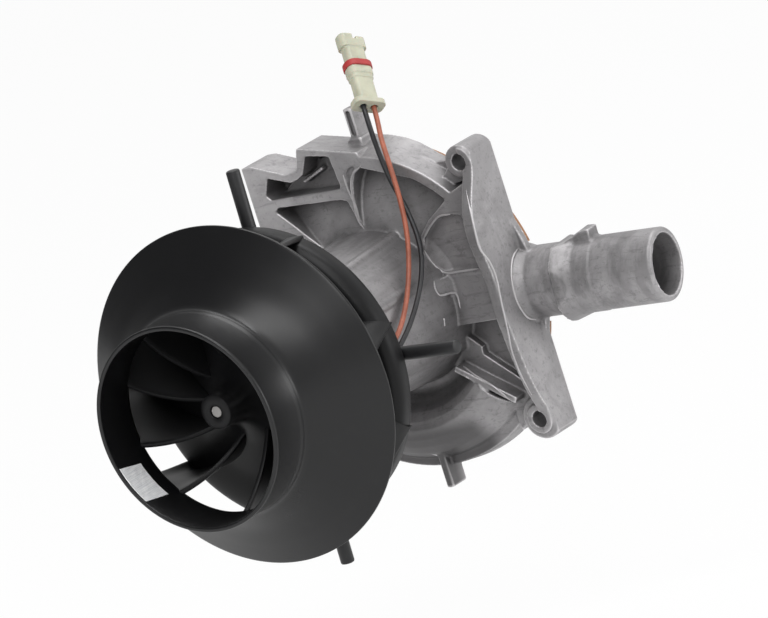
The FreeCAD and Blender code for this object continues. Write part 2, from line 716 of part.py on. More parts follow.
def base_plate():
    edge = UPPER_SCREW[0] + SCREW_BOSS_R
    drum = disc(DRUM_REAR_R, FLOOR_Y, FLANGE_Y).cut(block(edge, 60, FLOOR_Y - 1, BULGE_Y, -40, 40))
    right = plate([(20, -edge + 5), (edge - 5, -edge + 5), (edge, -edge + 5.1), (edge, edge - 6.1),
                   (edge - 5, edge - 6), (30, edge - 6)], FLOOR_Y, FLANGE_Y)
    upper = post(*UPPER_SCREW, SCREW_BOSS_R, SCREW_BOSS_Y, FLANGE_Y)
    collar = post(*UPPER_SCREW, SCREW_BOSS_R + 0.6, SCREW_BOSS_Y + 0.5, FLANGE_Y)
    collar = collar.common(block(0, edge, -30, 0, 0, 60))
    lower = post(*LOWER_SCREW, SCREW_BOSS_R, SCREW_BOSS_Y, FLANGE_Y)
    step_a = post(*LOWER_SCREW, SCREW_BOSS_R + 2.3, SCREW_BOSS_Y + 1.4, FLANGE_Y)
    step_a = step_a.common(block(0, edge, -30, 0, -60, 0))
    step_b = post(*LOWER_SCREW, SCREW_BOSS_R + 6.4, SCREW_BOSS_Y + 3.6, FLANGE_Y)
    step_b = step_b.common(disc(APRON_R + 1.5, -40, 1)).common(block(0, edge - SIDE_WALL, -30, 0, -60, 0))
    left = post(*LEFT_SCREW, SCREW_BOSS_R, SCREW_BOSS_Y, FLANGE_Y)
    left_ear = plate([(-50, -45), (-45, -50), (-30, -46), (-46, -30)], FLOOR_Y, FLANGE_Y)
    top_arm = plate([(33, 36), (50, 38), (50, 44), (45, 49), (36, 40.5)], SCREW_BOSS_Y + 2.5, FLANGE_Y)
    low_arm = plate([(46, -30), (50, -30), (50, -45), (45, -50), (40, -46)], SCREW_BOSS_Y + 3.5, FLANGE_Y)
    return [drum, right, upper, collar, lower, step_a, step_b, left, left_ear, top_arm, low_arm]


def rim_band():
    """Drafted outer rim of the drum along the top, with the crown that rises to the block."""
    outer = Part.makeCone(DRUM_FRONT_R, DRUM_REAR_R, FLANGE_Y - FRONT_Y, V(0, FRONT_Y, 0), AXIS)
    inner_r = DRUM_FRONT_R - BAND_WALL
    band = outer.cut(disc(inner_r, FRONT_Y - 1, 1)).common(sector(90, 38, 84, FRONT_Y, 0))
    sides = []
    for y, radii in ((FRONT_Y, [DRUM_FRONT_R] * len(CROWN_ANGLES)), (FLANGE_Y, CROWN_REAR_R)):
        rim = [polar(r, angle, y) for r, angle in zip(radii, CROWN_ANGLES)]
        rim += [polar(inner_r, CROWN_ANGLES[-1], y), polar(inner_r, CROWN_ANGLES[0], y)]
        sides.append(Part.makePolygon(rim + rim[:1]))
    crown = Part.makeLoft(sides, True, True)
    return [band, crown]


def nose():
    return Part.makeCone(NOSE_FRONT_R, NOSE_FLOOR_R, FLOOR_Y - NOSE_FRONT_Y + 1, V(0, NOSE_FRONT_Y, 0), AXIS)


def nose_streak(angle):
    """Low draft rib that runs along the nose."""
    start = polar(NOSE_FRONT_R - 1.6, angle, NOSE_FRONT_Y + 1.0)
    end = polar(NOSE_FLOOR_R - 1.2, angle, FLOOR_Y)
    run = end.sub(start)
    return Part.makeCylinder(2.3, run.Length, start, run)


def lobe():
    """Ring channel's swell round the bottom, flat in front and rolled over to the apron."""
    profile = [(29.0, -8.6), (31.5, -9.4), (34.0, -11.8), (36.4, -15.0), (39.0, -17.2), (42.0, -18.0), (45.4, -17.6),
               (48.3, -16.2), (51.0, -14.0), (53.2, -11.2), (54.6, -8.0), (55.0, -4.5), (55.0, FLANGE_Y),
               (29.0, FLANGE_Y)]
    swell = turned(profile).common(sector(90, LOBE_ANGLES[0], LOBE_ANGLES[1], -30, 0))
    apron = Part.makeCone(APRON_R - 1.2, APRON_R, FLANGE_Y - APRON_FRONT_Y, V(0, APRON_FRONT_Y, 0), AXIS)
    apron = apron.common(sector(90, -128, -50, APRON_FRONT_Y, 0))
    return [swell, apron]


def shoulder():
    """Sloping floor of the pockets: a turned edge at the nose that falls away to the rim."""
    profile = [(26.0, FRONT_Y), (28.2, FRONT_Y), (30.6, -16.0), (35.0, -14.2), (40.0, -12.3), (45.0, -10.2),
               (50.0, FLOOR_Y), (50.0, FLANGE_Y), (26.0, FLANGE_Y)]
    return turned(profile).common(sector(90, 2, 200, -30, 0))


def diagonal_rib():
    return plate([(19.0, -24.2), (20.1, -22.6), (40.2, -36.2), (39.0, -38.0)], FRONT_Y, FLANGE_Y)


def pocket_bar():
    """Small bar across the deep pocket's floor."""
    return plate([BAR_START, (BAR_START[0] - 0.7, BAR_START[1] + 0.9), (BAR_END[0] - 0.7, BAR_END[1] + 0.9), BAR_END],
                 -11.0, FLANGE_Y)


def web_pad():
    """Sloping pad where the right web runs onto the nose."""
    outline = [V(20, -23.0, 2.2), V(26.4, -23.0, 2.2), V(29.6, -16.2, 2.2), V(20, -16.2, 2.2)]
    return Part.Face(Part.makePolygon(outline + outline[:1])).extrude(V(0, 0, 6.0))


def tabs():
    upper = block(1.6, 4.6, -9.0, -1.8, 50.0, 67.0)
    foot = block(0.4, 5.8, -9.8, -1.8, 50.0, 57.0)
    lower = block(-2.0, 0.8, -12.0, -3.8, -64.2, -50.0)
    return [upper.cut(block(2.3, 3.9, -10.0, -7.6, 57.6, 66.0)), foot, lower]


def blower_housing():
    pieces = base_plate()
    pieces.append(side_plate())
    pieces += rim_band()
    pieces.append(nose())
    pieces.append(shoulder())
    pieces += lobe()
    pieces.append(diagonal_rib())
    pieces += tabs()
    left = plate(LEFT_BLOCK, FRONT_Y, FLANGE_Y)
    left = left.cut(plate(UPPER_POCKET, FRONT_Y - 1, FLOOR_Y + 2.5))
    left = left.cut(plate(LOWER_POCKET, FRONT_Y - 1, FLOOR_Y))
    left = left.cut(plate(RIB_GROOVE, FRONT_Y - 1, FRONT_Y + 0.9))
    pieces.append(left)
    pieces.append(pocket_bar())
    right = plate(RIGHT_WEB, FRONT_Y, FLANGE_Y)
    right = right.cut(plate(RIGHT_POCKET, FRONT_Y - 1, FRONT_Y + 1.7))
    right = right.cut(block(20, 50, FRONT_Y - 1, FRONT_Y + 0.6, -10, 7.2))
    pieces.append(right)
    pieces.append(web_pad())
    pieces.append(plate(LOWER_SHELF, FRONT_Y + 6.0, FLANGE_Y))
    pieces += nozzle_outside()
    pieces.append(ring(SPIGOT_R, CHAMBER_R, FLANGE_Y - 1, SPIGOT_LENGTH))
    whole = pieces[0].multiFuse(pieces[1:])
    for angle in NOSE_STREAK_ANGLES:
        whole = whole.fuse(nose_streak(angle))
    whole = whole.cut(disc(MOTOR_BORE_R, NOSE_FRONT_Y - 5, CAN_REAR_Y + RUN_CLEARANCE))
    whole = whole.cut(disc(SHAFT_R + 0.6, NOSE_FRONT_Y, 10))
    whole = whole.cut(disc(CHAMBER_R, CHAMBER_FRONT_Y, SPIGOT_LENGTH + 1))
    whole = whole.cut(disc(COVER_R + 0.2, CHAMBER_REAR_Y, SPIGOT_LENGTH + 1))
    channel = Part.makeTorus(CHANNEL_R, CHANNEL_TUBE_R, V(0, CHAMBER_FRONT_Y, 0), AXIS)
    whole = whole.cut(channel.common(sector(60, *CHANNEL_ANGLES, -20, 20)))
    for place in (UPPER_SCREW, LOWER_SCREW, LEFT_SCREW):
        whole = whole.cut(post(*place, SCREW_HOLE_R, -30, 5))
    whole = whole.cut(grommet_space(MOTOR_BORE_R - 1, 34.0))
    for p in screw_places():
        whole = whole.cut(post(p.x, p.z, COVER_SCREW_R, CHAMBER_REAR_Y - 5.4, CHAMBER_REAR_Y + 1))
    for cut in nozzle_inside():
        whole = whole.cut(cut)
    return whole.removeSplitter()


def flange_seal():
    seal = ring(SEAL_R, SEAL_INNER_R, FLANGE_Y, 0)
    return seal.cut(tube_on_nozzle(NOZZLE_ROOT_R + 2.0, -8.0, 20))


# Support cross

def cross_direction(index):
    return polar(1.0, CROSS_TURN + 90.0 * index)


def support_hub():
    back = cap_front()
    hub = disc(CROSS_HUB_R, CROSS_HUB_FRONT_Y, back)
    hub = hub.cut(disc(CROSS_HUB_BORE_R, CROSS_HUB_FRONT_Y - 1, back))
    hub = hub.cut(disc(CAP_HUB_R, back - CAP_HUB_LENGTH, back + 1))
    for i in range(4):
        d = cross_direction(i)
        start = V(d.x * ROD_SEAT_R, CROSS_Y, d.z * ROD_SEAT_R)
        hub = hub.cut(Part.makeCylinder(ROD_R, 20, start, d))
    return hub


def support_rod(index):
    d = cross_direction(index)
    start = V(d.x * ROD_SEAT_R, CROSS_Y, d.z * ROD_SEAT_R)
    rod = Part.makeCylinder(ROD_R, ROD_REACH - ROD_SEAT_R, start, d)
    far = max(rod.Edges, key=lambda e: e.CenterOfMass.dot(d))
    return rod.makeFillet(0.6, [far])


# Leads and connector

def connector_frame():
    up = V(CONNECTOR_UP.x, CONNECTOR_UP.y, CONNECTOR_UP.z).normalize()
    wide = V(CONNECTOR_WIDE.x, CONNECTOR_WIDE.y, CONNECTOR_WIDE.z)
    wide = wide.sub(V(up.x, up.y, up.z).multiply(wide.dot(up))).normalize()
    return wide, up.cross(wide), up


def on_connector(shape):
    """Moves a shape built along +Z at the origin to the connector's place."""
    w, t, u = connector_frame()
    b = CONNECTOR_BASE
    place = FreeCAD.Matrix(w.x, t.x, u.x, b.x, w.y, t.y, u.y, b.y, w.z, t.z, u.z, b.z, 0, 0, 0, 1)
    moved = shape.copy()
    moved.Placement = FreeCAD.Placement(place)
    return moved


def rounded_bar(wide, thick, z0, z1, radius):
    bar = Part.makeBox(wide, thick, z1 - z0, V(-wide / 2, -thick / 2, z0))
    upright = [e for e in bar.Edges if abs(e.Vertexes[0].Z - e.Vertexes[1].Z) > 0.1]
    return bar.makeFillet(radius, upright)


def connector_body():
    wide, thick = CONNECTOR_SIZE
    taper = 0.5 * (wide + SHOULDER_SIZE[0]), 0.5 * (thick + SHOULDER_SIZE[1])
    seal_end = SEAL_AT + SEAL_WIDTH
    body = fused([
        rounded_bar(*FLANGE_SIZE, 0, FLANGE_THICK, 2.2),
        rounded_bar(wide, thick, FLANGE_THICK, SHOULDER_AT - 1.6, 1.4),
        rounded_bar(*taper, SHOULDER_AT - 1.6, SHOULDER_AT, 1.8),
        rounded_bar(*SHOULDER_SIZE, SHOULDER_AT, SEAL_AT, 2.4),
        rounded_bar(wide, thick, SEAL_AT, seal_end, 1.4),
        rounded_bar(wide, thick, seal_end, MOUTH_AT, 1.4),
        rounded_bar(*MOUTH_SIZE, MOUTH_AT, CONNECTOR_LENGTH, 2.0),
    ])
    for side in (-1, 1):
        hole = Part.makeCylinder(LEAD_R + 0.35, 8.0, V(side * PIN_PITCH / 2, 0, -1))
        body = body.cut(hole)
        slot = Part.makeBox(2.6, 1.6, 8.0, V(side * PIN_PITCH / 2 - 1.3, -0.8, CONNECTOR_LENGTH - 4.6))
        body = body.cut(slot)
    lobe_step = Part.makeBox(5, 20, 3.0, V(0.6, -10, CONNECTOR_LENGTH - 0.9))
    notch = Part.makeBox(1.2, 20, 3.0, V(-0.3, -10, CONNECTOR_LENGTH - 1.9))
    return on_connector(body.cut(lobe_step).cut(notch))


def connector_seal():
    seal = rounded_bar(*SEAL_SIZE, SEAL_AT, SEAL_AT + SEAL_WIDTH, 3.2)
    return on_connector(seal.cut(rounded_bar(*CONNECTOR_SIZE, SEAL_AT - 1, SEAL_AT + 5, 1.4)))


def connector_terminal(side):
    wide, thick = TERMINAL_SIZE
    tab = Part.makeBox(wide, thick, 3.6, V(side * PIN_PITCH / 2 - wide / 2, -thick / 2, CONNECTOR_LENGTH - 4.6))
    return on_connector(tab)


def lead_route(points, side):
    """The lead's corner points, starting at its hole in the connector."""
    w, t, u = connector_frame()
    base = CONNECTOR_BASE.add(V(w.x, w.y, w.z).multiply(side * PIN_PITCH / 2))
    start = base.add(V(u.x, u.y, u.z).multiply(6.9))
    leave = base.sub(V(u.x, u.y, u.z).multiply(4.0))
    return [start, leave] + points


def lead_tube(points, thick):
    """Straight runs joined by tangent arcs, as large as the runs allow."""
    radii = []
    edges = []
    here = points[0]
    for i in range(1, len(points) - 1):
        a = points[i].sub(points[i - 1])
        b = points[i + 1].sub(points[i])
        run = min(a.Length, b.Length)
        turn = a.getAngle(b)
        trim = 0.45 * run
        radius = trim / math.tan(turn / 2)
        radii.append(round(radius, 1))
        a = a.normalize()
        b = b.normalize()
        start = points[i].sub(scaled(a, trim))
        end = points[i].add(scaled(b, trim))
        inward = b.sub(a).normalize()
        middle = points[i].add(scaled(inward, radius / math.cos(turn / 2) - radius))
        edges.append(Part.LineSegment(here, start).toShape())
        edges.append(Part.Arc(start, middle, end).toShape())
        here = end
    edges.append(Part.LineSegment(here, points[-1]).toShape())
    path = Part.Wire(edges)
    profile = Part.Wire([Part.Circle(points[0], points[1].sub(points[0]), thick).toShape()])
    return path.makePipeShell([profile], True, False), path.Length, radii


def lead(name, points):
    tube, length, radii = lead_tube(points, LEAD_R)
    ratio = tube.Volume / (math.pi * LEAD_R ** 2 * length)
    print(name, "length", round(length, 1), "radii", radii, "volume ratio", round(ratio, 4))
    return tube


def grommet_space(inner, outer):
    """Slot in the front end of the nose where the leads go in."""
    space = ring(outer, inner, NOSE_FRONT_Y, GROMMET_REAR_Y)
    return space.common(sector(60, GROMMET_ANGLES[0], GROMMET_ANGLES[1], NOSE_FRONT_Y, GROMMET_REAR_Y))


def lead_grommet():
    bush = grommet_space(MOTOR_BORE_R, GROMMET_R)
    for route in (RED_ROUTE, BLACK_ROUTE):
        bush = bush.cut(lead_tube(route[-4:], LEAD_R + SEAM)[0])
    return bush


def main():
    os.makedirs("parts", exist_ok=True)
    front_outer, front_inner = bearing(cap_front() - CAP_HUB_LENGTH)
    rear_outer, rear_inner = bearing(CAN_REAR_Y - BEARING_WIDTH - 0.2)
    nodes = {
        "wheel_shroud": wheel_shroud(),
        "wheel_hub": wheel_hub(),
        "balance_foil": balance_foil(),
        "motor_shaft": motor_shaft(),
        "armature_core": armature_core(),
        "armature_windings": armature_windings(),
        "commutator": commutator(),
        "combustion_impeller": combustion_impeller(),
        "impeller_clip": impeller_clip(),
        "blower_housing": blower_housing(),
        "flange_seal": flange_seal(),
        "rear_cover": rear_cover(),
        "cover_gasket": cover_gasket(),
        "cover_screws": Part.makeCompound([cover_screw(p) for p in screw_places()]),
        "motor_can": motor_can(),
        "motor_magnets": Part.makeCompound([magnet(1), magnet(-1)]),
        "front_bearing": Part.makeCompound([front_outer, front_inner]),
        "rear_bearing": Part.makeCompound([rear_outer, rear_inner]),
        "brush_holder": brush_holder(),
        "carbon_brushes": Part.makeCompound([brush(1), brush(-1)]),
        "brush_springs": Part.makeCompound([brush_spring(1), brush_spring(-1)]),
        "support_hub": support_hub(),
        "support_rod_right": support_rod(0),
        "support_rod_top": support_rod(1),
        "support_rod_left": support_rod(2),
        "support_rod_bottom": support_rod(3),
        "lead_grommet": lead_grommet(),
        "lead_red": lead("red lead", lead_route(RED_ROUTE, 1)),
        "lead_black": lead("black lead", lead_route(BLACK_ROUTE, -1)),
        "connector_body": connector_body(),
        "connector_seal": connector_seal(),
        "connector_terminals": Part.makeCompound([connector_terminal(1), connector_terminal(-1)]),
    }
    for name, shape in nodes.items():
        if not shape.isValid() or not shape.Solids:
            print("bad shape:", name, shape.ShapeType, len(shape.Solids))
        shape.exportStep("parts/" + name + ".step")
        print(name, len(shape.Solids), "solids", round(shape.Volume / 1000, 2), "cm3")


main()
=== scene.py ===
"""Dressed model of a DC blower fan: black mixed-flow fan wheel, die-cast housing with a hose
nozzle, support cross, and two leads that end in a cream two-way connector.

Metres. +Y runs along the motor axis out of the flange's rear, +X is the nozzle's side, +Z is up.
"""

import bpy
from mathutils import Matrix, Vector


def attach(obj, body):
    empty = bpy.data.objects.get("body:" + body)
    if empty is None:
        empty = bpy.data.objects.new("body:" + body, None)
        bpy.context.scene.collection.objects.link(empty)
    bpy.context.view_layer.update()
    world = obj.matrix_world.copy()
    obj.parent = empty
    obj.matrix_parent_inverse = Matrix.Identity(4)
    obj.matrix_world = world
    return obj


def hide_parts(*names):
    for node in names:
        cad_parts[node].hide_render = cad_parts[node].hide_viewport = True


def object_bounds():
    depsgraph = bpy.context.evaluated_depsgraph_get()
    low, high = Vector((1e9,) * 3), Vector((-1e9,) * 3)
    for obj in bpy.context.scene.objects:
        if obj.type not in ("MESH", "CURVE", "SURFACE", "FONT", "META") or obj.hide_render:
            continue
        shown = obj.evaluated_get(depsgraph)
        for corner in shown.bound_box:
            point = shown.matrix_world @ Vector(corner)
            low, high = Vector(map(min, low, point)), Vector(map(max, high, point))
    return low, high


bl_info = {
    "name": "DC blower fan",
    "version": (1, 0, 0),
    "blender": (4, 5, 0),
    "location": "View3D > Sidebar > Blower",
    "description": "Builds the visible surfaces and finishes of a DC blower fan on its frame",
    "category": "Object",
}

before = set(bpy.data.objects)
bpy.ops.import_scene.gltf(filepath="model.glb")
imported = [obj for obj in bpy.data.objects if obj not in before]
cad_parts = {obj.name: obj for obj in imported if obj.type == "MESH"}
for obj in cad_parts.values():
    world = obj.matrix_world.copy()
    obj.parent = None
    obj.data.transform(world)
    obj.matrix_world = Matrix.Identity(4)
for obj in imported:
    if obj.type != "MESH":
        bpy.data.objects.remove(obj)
CAD_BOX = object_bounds()

import math

import bmesh
import bpy
import numpy as np
from mathutils import Matrix, Vector

MM = 0.001


# Sizes and colours that a user may change


class FanWheelSizes(bpy.types.PropertyGroup):
    """Fan wheel: shroud, hub, blades and the balance foil."""

    collar_radius: bpy.props.FloatProperty(
        name="Collar radius", description="Outer radius of the intake collar",
        default=0.0344, unit="LENGTH")
    wall: bpy.props.FloatProperty(
        name="Wall", description="Wall of the shroud and collar", default=0.0014, unit="LENGTH")
    blade_thickness: bpy.props.FloatProperty(
        name="Blade thickness", description="Thickness of a blade at its middle",
        default=0.0017, unit="LENGTH")
    plastic: bpy.props.FloatVectorProperty(
        name="Plastic", description="Colour of the moulded black plastic", subtype="COLOR", size=3,
        default=(0.006, 0.006, 0.0065))
    foil: bpy.props.FloatVectorProperty(
        name="Foil", description="Colour of the balance foil", subtype="COLOR", size=3,
        default=(0.93, 0.95, 0.98))


class CastingSizes(bpy.types.PropertyGroup):
    """Die-cast housing."""

    grain: bpy.props.FloatProperty(
        name="Edge grain", description="Cell size that the cast edges are rounded with",
        default=0.00042, unit="LENGTH", precision=5)
    rounding: bpy.props.IntProperty(
        name="Rounding", description="Passes that soften the cast edges", default=2)
    ridge_radius: bpy.props.FloatProperty(
        name="Ridge radius", description="Radius of the casting's fine raised lines",
        default=0.00036, unit="LENGTH", precision=5)
    alloy: bpy.props.FloatVectorProperty(
        name="Alloy", description="Colour of the cast skin", subtype="COLOR", size=3,
        default=(0.345, 0.335, 0.341))
    gasket: bpy.props.FloatVectorProperty(
        name="Flange seal", description="Colour of the seal behind the flange",
        subtype="COLOR", size=3, default=(0.3, 0.15, 0.075))


class CrossSizes(bpy.types.PropertyGroup):
    """Support cross between the fan wheel and the motor."""

    rod_radius: bpy.props.FloatProperty(
        name="Rod radius", description="Radius of a support rod",
        default=0.0023, unit="LENGTH", precision=4)
    station: bpy.props.FloatProperty(
        name="Station", description="Place of the rods along the motor axis",
        default=-0.0739, unit="LENGTH")
    reach: bpy.props.FloatProperty(
        name="Reach", description="Distance from the motor axis to a rod's end",
        default=0.0674, unit="LENGTH")
    turn: bpy.props.FloatProperty(
        name="Turn", description="Turn of the cross about the motor axis",
        default=math.radians(-1.7), subtype="ANGLE")


class LeadSizes(bpy.types.PropertyGroup):
    """Two leads and their connector."""

    diameter: bpy.props.FloatProperty(
        name="Diameter", description="Diameter over the lead's sleeve",
        default=0.0017, unit="LENGTH", precision=4)
    red: bpy.props.FloatVectorProperty(
        name="Red sleeve", description="Colour of the red lead", subtype="COLOR", size=3,
        default=(0.36, 0.11, 0.065))
    black: bpy.props.FloatVectorProperty(
        name="Black sleeve", description="Colour of the black lead", subtype="COLOR", size=3,
        default=(0.018, 0.018, 0.02))
    cream: bpy.props.FloatVectorProperty(
        name="Connector", description="Colour of the connector's nylon", subtype="COLOR", size=3,
        default=(0.45, 0.45, 0.35))
    seal: bpy.props.FloatVectorProperty(
        name="Connector seal", description="Colour of the connector's seal ring",
        subtype="COLOR", size=3, default=(0.36, 0.035, 0.035))


class StageSizes(bpy.types.PropertyGroup):
    """Camera, lamps and floor."""

    lens: bpy.props.FloatProperty(
        name="Lens", description="Focal length for a 36 mm wide image",
        default=375.0, unit="CAMERA")
    floor_drop: bpy.props.FloatProperty(
        name="Floor drop", description="Distance of the floor below the object",
        default=0.05, unit="LENGTH")
    daylight: bpy.props.FloatProperty(
        name="Daylight", description="Level of the room's own light", default=1.0)


# Shader arithmetic


class Signal:
    """A shader socket that takes part in Python arithmetic; each operation adds its Math node."""

    def __init__(self, finish, socket):
        self.finish = finish
        self.socket = socket

    def math(self, operation, *values):
        numbers = dict(enumerate((self,) + values))
        return self.finish.node("ShaderNodeMath", {"operation": operation}, numbers)

    def __add__(self, other):
        return self.math("ADD", other)

    def __radd__(self, other):
        return self.math("ADD", other)

    def __sub__(self, other):
        return self.math("SUBTRACT", other)

    def __rsub__(self, other):
        return self.finish.node("ShaderNodeMath", {"operation": "SUBTRACT"}, {0: other, 1: self})

    def __mul__(self, other):
        return self.math("MULTIPLY", other)

    def __rmul__(self, other):
        return self.math("MULTIPLY", other)

    def clipped(self):
        """The value held between 0 and 1."""
        return self.math("MAXIMUM", 0.0).math("MINIMUM", 1.0)

    def ramp(self, low, high):
        """0 below low, 1 above high, with a smooth step between."""
        return self.finish.node(
            "ShaderNodeMapRange", {"interpolation_type": "SMOOTHSTEP"},
            {"Value": self, "From Min": low, "From Max": high, "To Min": 0.0, "To Max": 1.0})


class Finish:
    """A material under construction, with one method that adds any node."""

    def __init__(self, name):
        self.material = bpy.data.materials.new(name)
        self.material.use_nodes = True
        self.tree = self.material.node_tree
        self.tree.nodes.clear()
        self.output = self.tree.nodes.new("ShaderNodeOutputMaterial")
        self.place = None

    def node(self, kind, settings=None, inputs=None, out=0):
        """Adds a node, sets its settings, then fills its sockets with numbers or links."""
        made = self.tree.nodes.new(kind)
        for key, value in (settings or {}).items():
            setattr(made, key, value)
        for key, value in (inputs or {}).items():
            socket = made.inputs[key]
            if isinstance(value, Signal):
                self.tree.links.new(value.socket, socket)
            else:
                socket.default_value = value
        return Signal(self, made.outputs[out])

    def coordinates(self):
        """Object coordinates, in metres."""
        if self.place is None:
            self.place = self.node("ShaderNodeTexCoord", out=3)
        return self.place

    def axes(self):
        """The three numbers of the object coordinates."""
        split = self.node("ShaderNodeSeparateXYZ", None, {0: self.coordinates()})
        outputs = split.socket.node.outputs
        return tuple(Signal(self, outputs[i]) for i in range(3))

    def vector(self, x, y, z):
        return self.node("ShaderNodeCombineXYZ", None, {0: x, 1: y, 2: z})

    def noise(self, scale, detail=3.0, roughness=0.55, vector=None, distortion=0.0):
        inputs = {"Vector": vector or self.coordinates(), "Scale": scale, "Detail": detail,
                  "Roughness": roughness, "Distortion": distortion}
        return self.node("ShaderNodeTexNoise", None, inputs)

    def around_axis(self):
        """Angle about the motor axis in radians, the radius, and the station along the axis."""
        x, y, z = self.axes()
        angle = z.math("ARCTAN2", x)
        radius = (x * x + z * z).math("SQRT")
        return angle, radius, y

    def mix(self, mask, first, second):
        """Colour that goes from first to second as the mask goes from 0 to 1."""
        if not isinstance(first, Signal):
            first = (*first, 1.0)
        inputs = {0: mask, 6: first, 7: (*second, 1.0)}
        return self.node("ShaderNodeMix", {"data_type": "RGBA"}, inputs, out=2)

    def bump(self, height, distance):
        """Normals of a height map whose 0 to 1 stands for a distance in metres."""
        inputs = {"Height": height, "Distance": distance, "Strength": 1.0}
        return self.node("ShaderNodeBump", None, inputs)

    def surface(self, **sockets):
        """Ends the material with a Principled shader; a word's underscore stands for a space."""
        titles = {key: key.replace("_", " ").title().replace("Ior", "IOR") for key in sockets}
        inputs = {titles[key]: value for key, value in sockets.items()}
        shader = self.node("ShaderNodeBsdfPrincipled", None, inputs)
        self.tree.links.new(shader.socket, self.output.inputs[0])
        return self.material


def tint(colour, factor):
    """The colour made lighter or darker by a factor, held at 1."""
    return tuple(min(1.0, c * factor) for c in colour)


# Finishes: noise scales are in cells per metre, bump distances in metres

# Where the casting's painted reflections and painted shade fade in or out, from and to, in metres
NOSE_EDGE_RADIUS = (0.0288, 0.0325)
NOZZLE_ROOT_X = (0.0515, 0.0545)
LOBE_TOP_Z = (-0.0445, -0.038)
LOBE_SIDE_X = (0.018, 0.026)
LOBE_REAR_Y = (-0.009, -0.003)
OPEN_REACH = 0.014


def moulded_black(name, colour, gloss=0.31, shine=0.42):
    """Satin moulded plastic: faint flow marks, fine grain and a slow change of gloss."""
    f = Finish(name)
    angle, radius, station = f.around_axis()
    flow = f.noise(1.0, 4.0, 0.6, f.vector(angle * 1.6, radius * 60.0, station * 60.0))
    cloud = f.noise(38.0, 3.0)
    scuff = f.noise(420.0, 2.0, 0.7).ramp(0.62, 0.8)
    roughness = gloss + 0.14 * (cloud - 0.5) + 0.1 * (flow - 0.5) + 0.05 * scuff
    dust = f.noise(150.0, 5.0, 0.62).ramp(0.56, 0.78)
    colour_out = f.mix(dust * 0.3, colour, tint(colour, 1.9))
    height = f.noise(2600.0, 2.0) * 0.25 + flow * 0.75
    return f.surface(base_color=colour_out, roughness=roughness, specular_ior_level=shine,
                     normal=f.bump(height, 0.00003))


def cast_skin(name, colour, region_shading=True):
    """Die-cast alloy: cloudy matte skin with dark stains, painted shade in hollows and creases, and
    worn edges lightened partly by a painted highlight.

    When asked to, it also paints reflection bands along the nose, dark reflections on the nozzle
    and shade on the lower lobe.
    """
    f = Finish(name)
    angle, radius, station = f.around_axis()
    cloud = f.noise(52.0, 5.0, 0.62, distortion=0.5)
    stain = f.noise(34.0, 6.0, 0.7, distortion=1.2).ramp(0.47, 0.66)
    fleck = f.noise(420.0, 5.0, 0.74).ramp(0.55, 0.66)
    x, y, z = f.axes()
    stretched = f.vector(x * 70.0 + z * 60.0, y * 640.0, z * 560.0)
    scratch = f.noise(1.0, 5.0, 0.7, stretched).ramp(0.56, 0.64)
    tone = f.mix(cloud.ramp(0.28, 0.74), tint(colour, 0.82), tint(colour, 1.2))
    if region_shading:
        # Painted reflection: darker bands along the nose and a slight darkening of the whole nose
        # stand in for the reflections on its curve.
        along_nose = f.vector(angle * 2.4, station * 8.0, radius * 30.0)
        nose_reflection_bands = f.noise(1.0, 4.0, 0.6, along_nose).ramp(0.4, 0.66)
        on_nose = 1.0 - radius.ramp(*NOSE_EDGE_RADIUS)
        tone = f.mix(on_nose * (0.1 + 0.5 * nose_reflection_bands), tone, tint(colour, 0.34))
        # Painted reflection: dark blotches and a slight darkening over the nozzle stand in for its
        # dark reflections.
        nozzle_dark_reflections = f.noise(1.0, 5.0, 0.68, f.vector(x * 210.0, y * 60.0, z * 60.0)).ramp(0.42, 0.62)
        on_nozzle = x.ramp(*NOZZLE_ROOT_X)
        tone = f.mix(on_nozzle * (0.08 + 0.38 * nozzle_dark_reflections), tone, tint(colour, 0.34))
        # Painted shade: the lobe below LOBE_TOP_Z, left of LOBE_SIDE_X and in front of LOBE_REAR_Y
        # is darkened as the shaded band at its bottom.
        on_lobe = (1.0 - z.ramp(*LOBE_TOP_Z)) * (1.0 - x.ramp(*LOBE_SIDE_X))
        on_lobe = on_lobe * (1.0 - y.ramp(*LOBE_REAR_Y))
        tone = f.mix(on_lobe * 0.85, tone, tint(colour, 0.22))
    tone = f.mix(stain * 0.32, tone, tint(colour, 0.5))
    tone = f.mix(fleck * 0.38, tone, tint(colour, 0.36))
    tone = f.mix(scratch * 0.34, tone, tint(colour, 0.4))
    edge = f.node("ShaderNodeNewGeometry", out="Pointiness")
    worn_edge_highlight = edge.ramp(0.512, 0.57)
    hollow = 1.0 - edge.ramp(0.43, 0.492)
    # Painted shade: where ambient occlusion finds surfaces close around, as in pockets and
    # recesses, the skin is darkened.
    opening = f.node("ShaderNodeAmbientOcclusion", {"samples": 8}, {"Distance": OPEN_REACH}, "AO")
    occlusion_shade = 1.0 - opening.ramp(0.3, 0.95)
    tone = f.mix(occlusion_shade * 0.62, tone, tint(colour, 0.2))
    # Painted shade: concave creases, found by pointiness, are darkened.
    tone = f.mix(hollow * 0.5, tone, tint(colour, 0.32))
    # Painted highlight: convex edges, found by pointiness, are lightened, partly for wear and
    # partly as the highlight they catch.
    tone = f.mix(worn_edge_highlight * 0.7, tone, tint(colour, 2.5))
    roughness = 0.47 + 0.14 * (cloud - 0.5) + 0.08 * stain - 0.1 * worn_edge_highlight
    height = f.noise(900.0, 3.0, 0.6) * 0.6 + f.noise(260.0, 3.0) * 0.4
    return f.surface(base_color=tone, metallic=0.55, roughness=roughness.clipped(),
                     normal=f.bump(height, 0.00009))


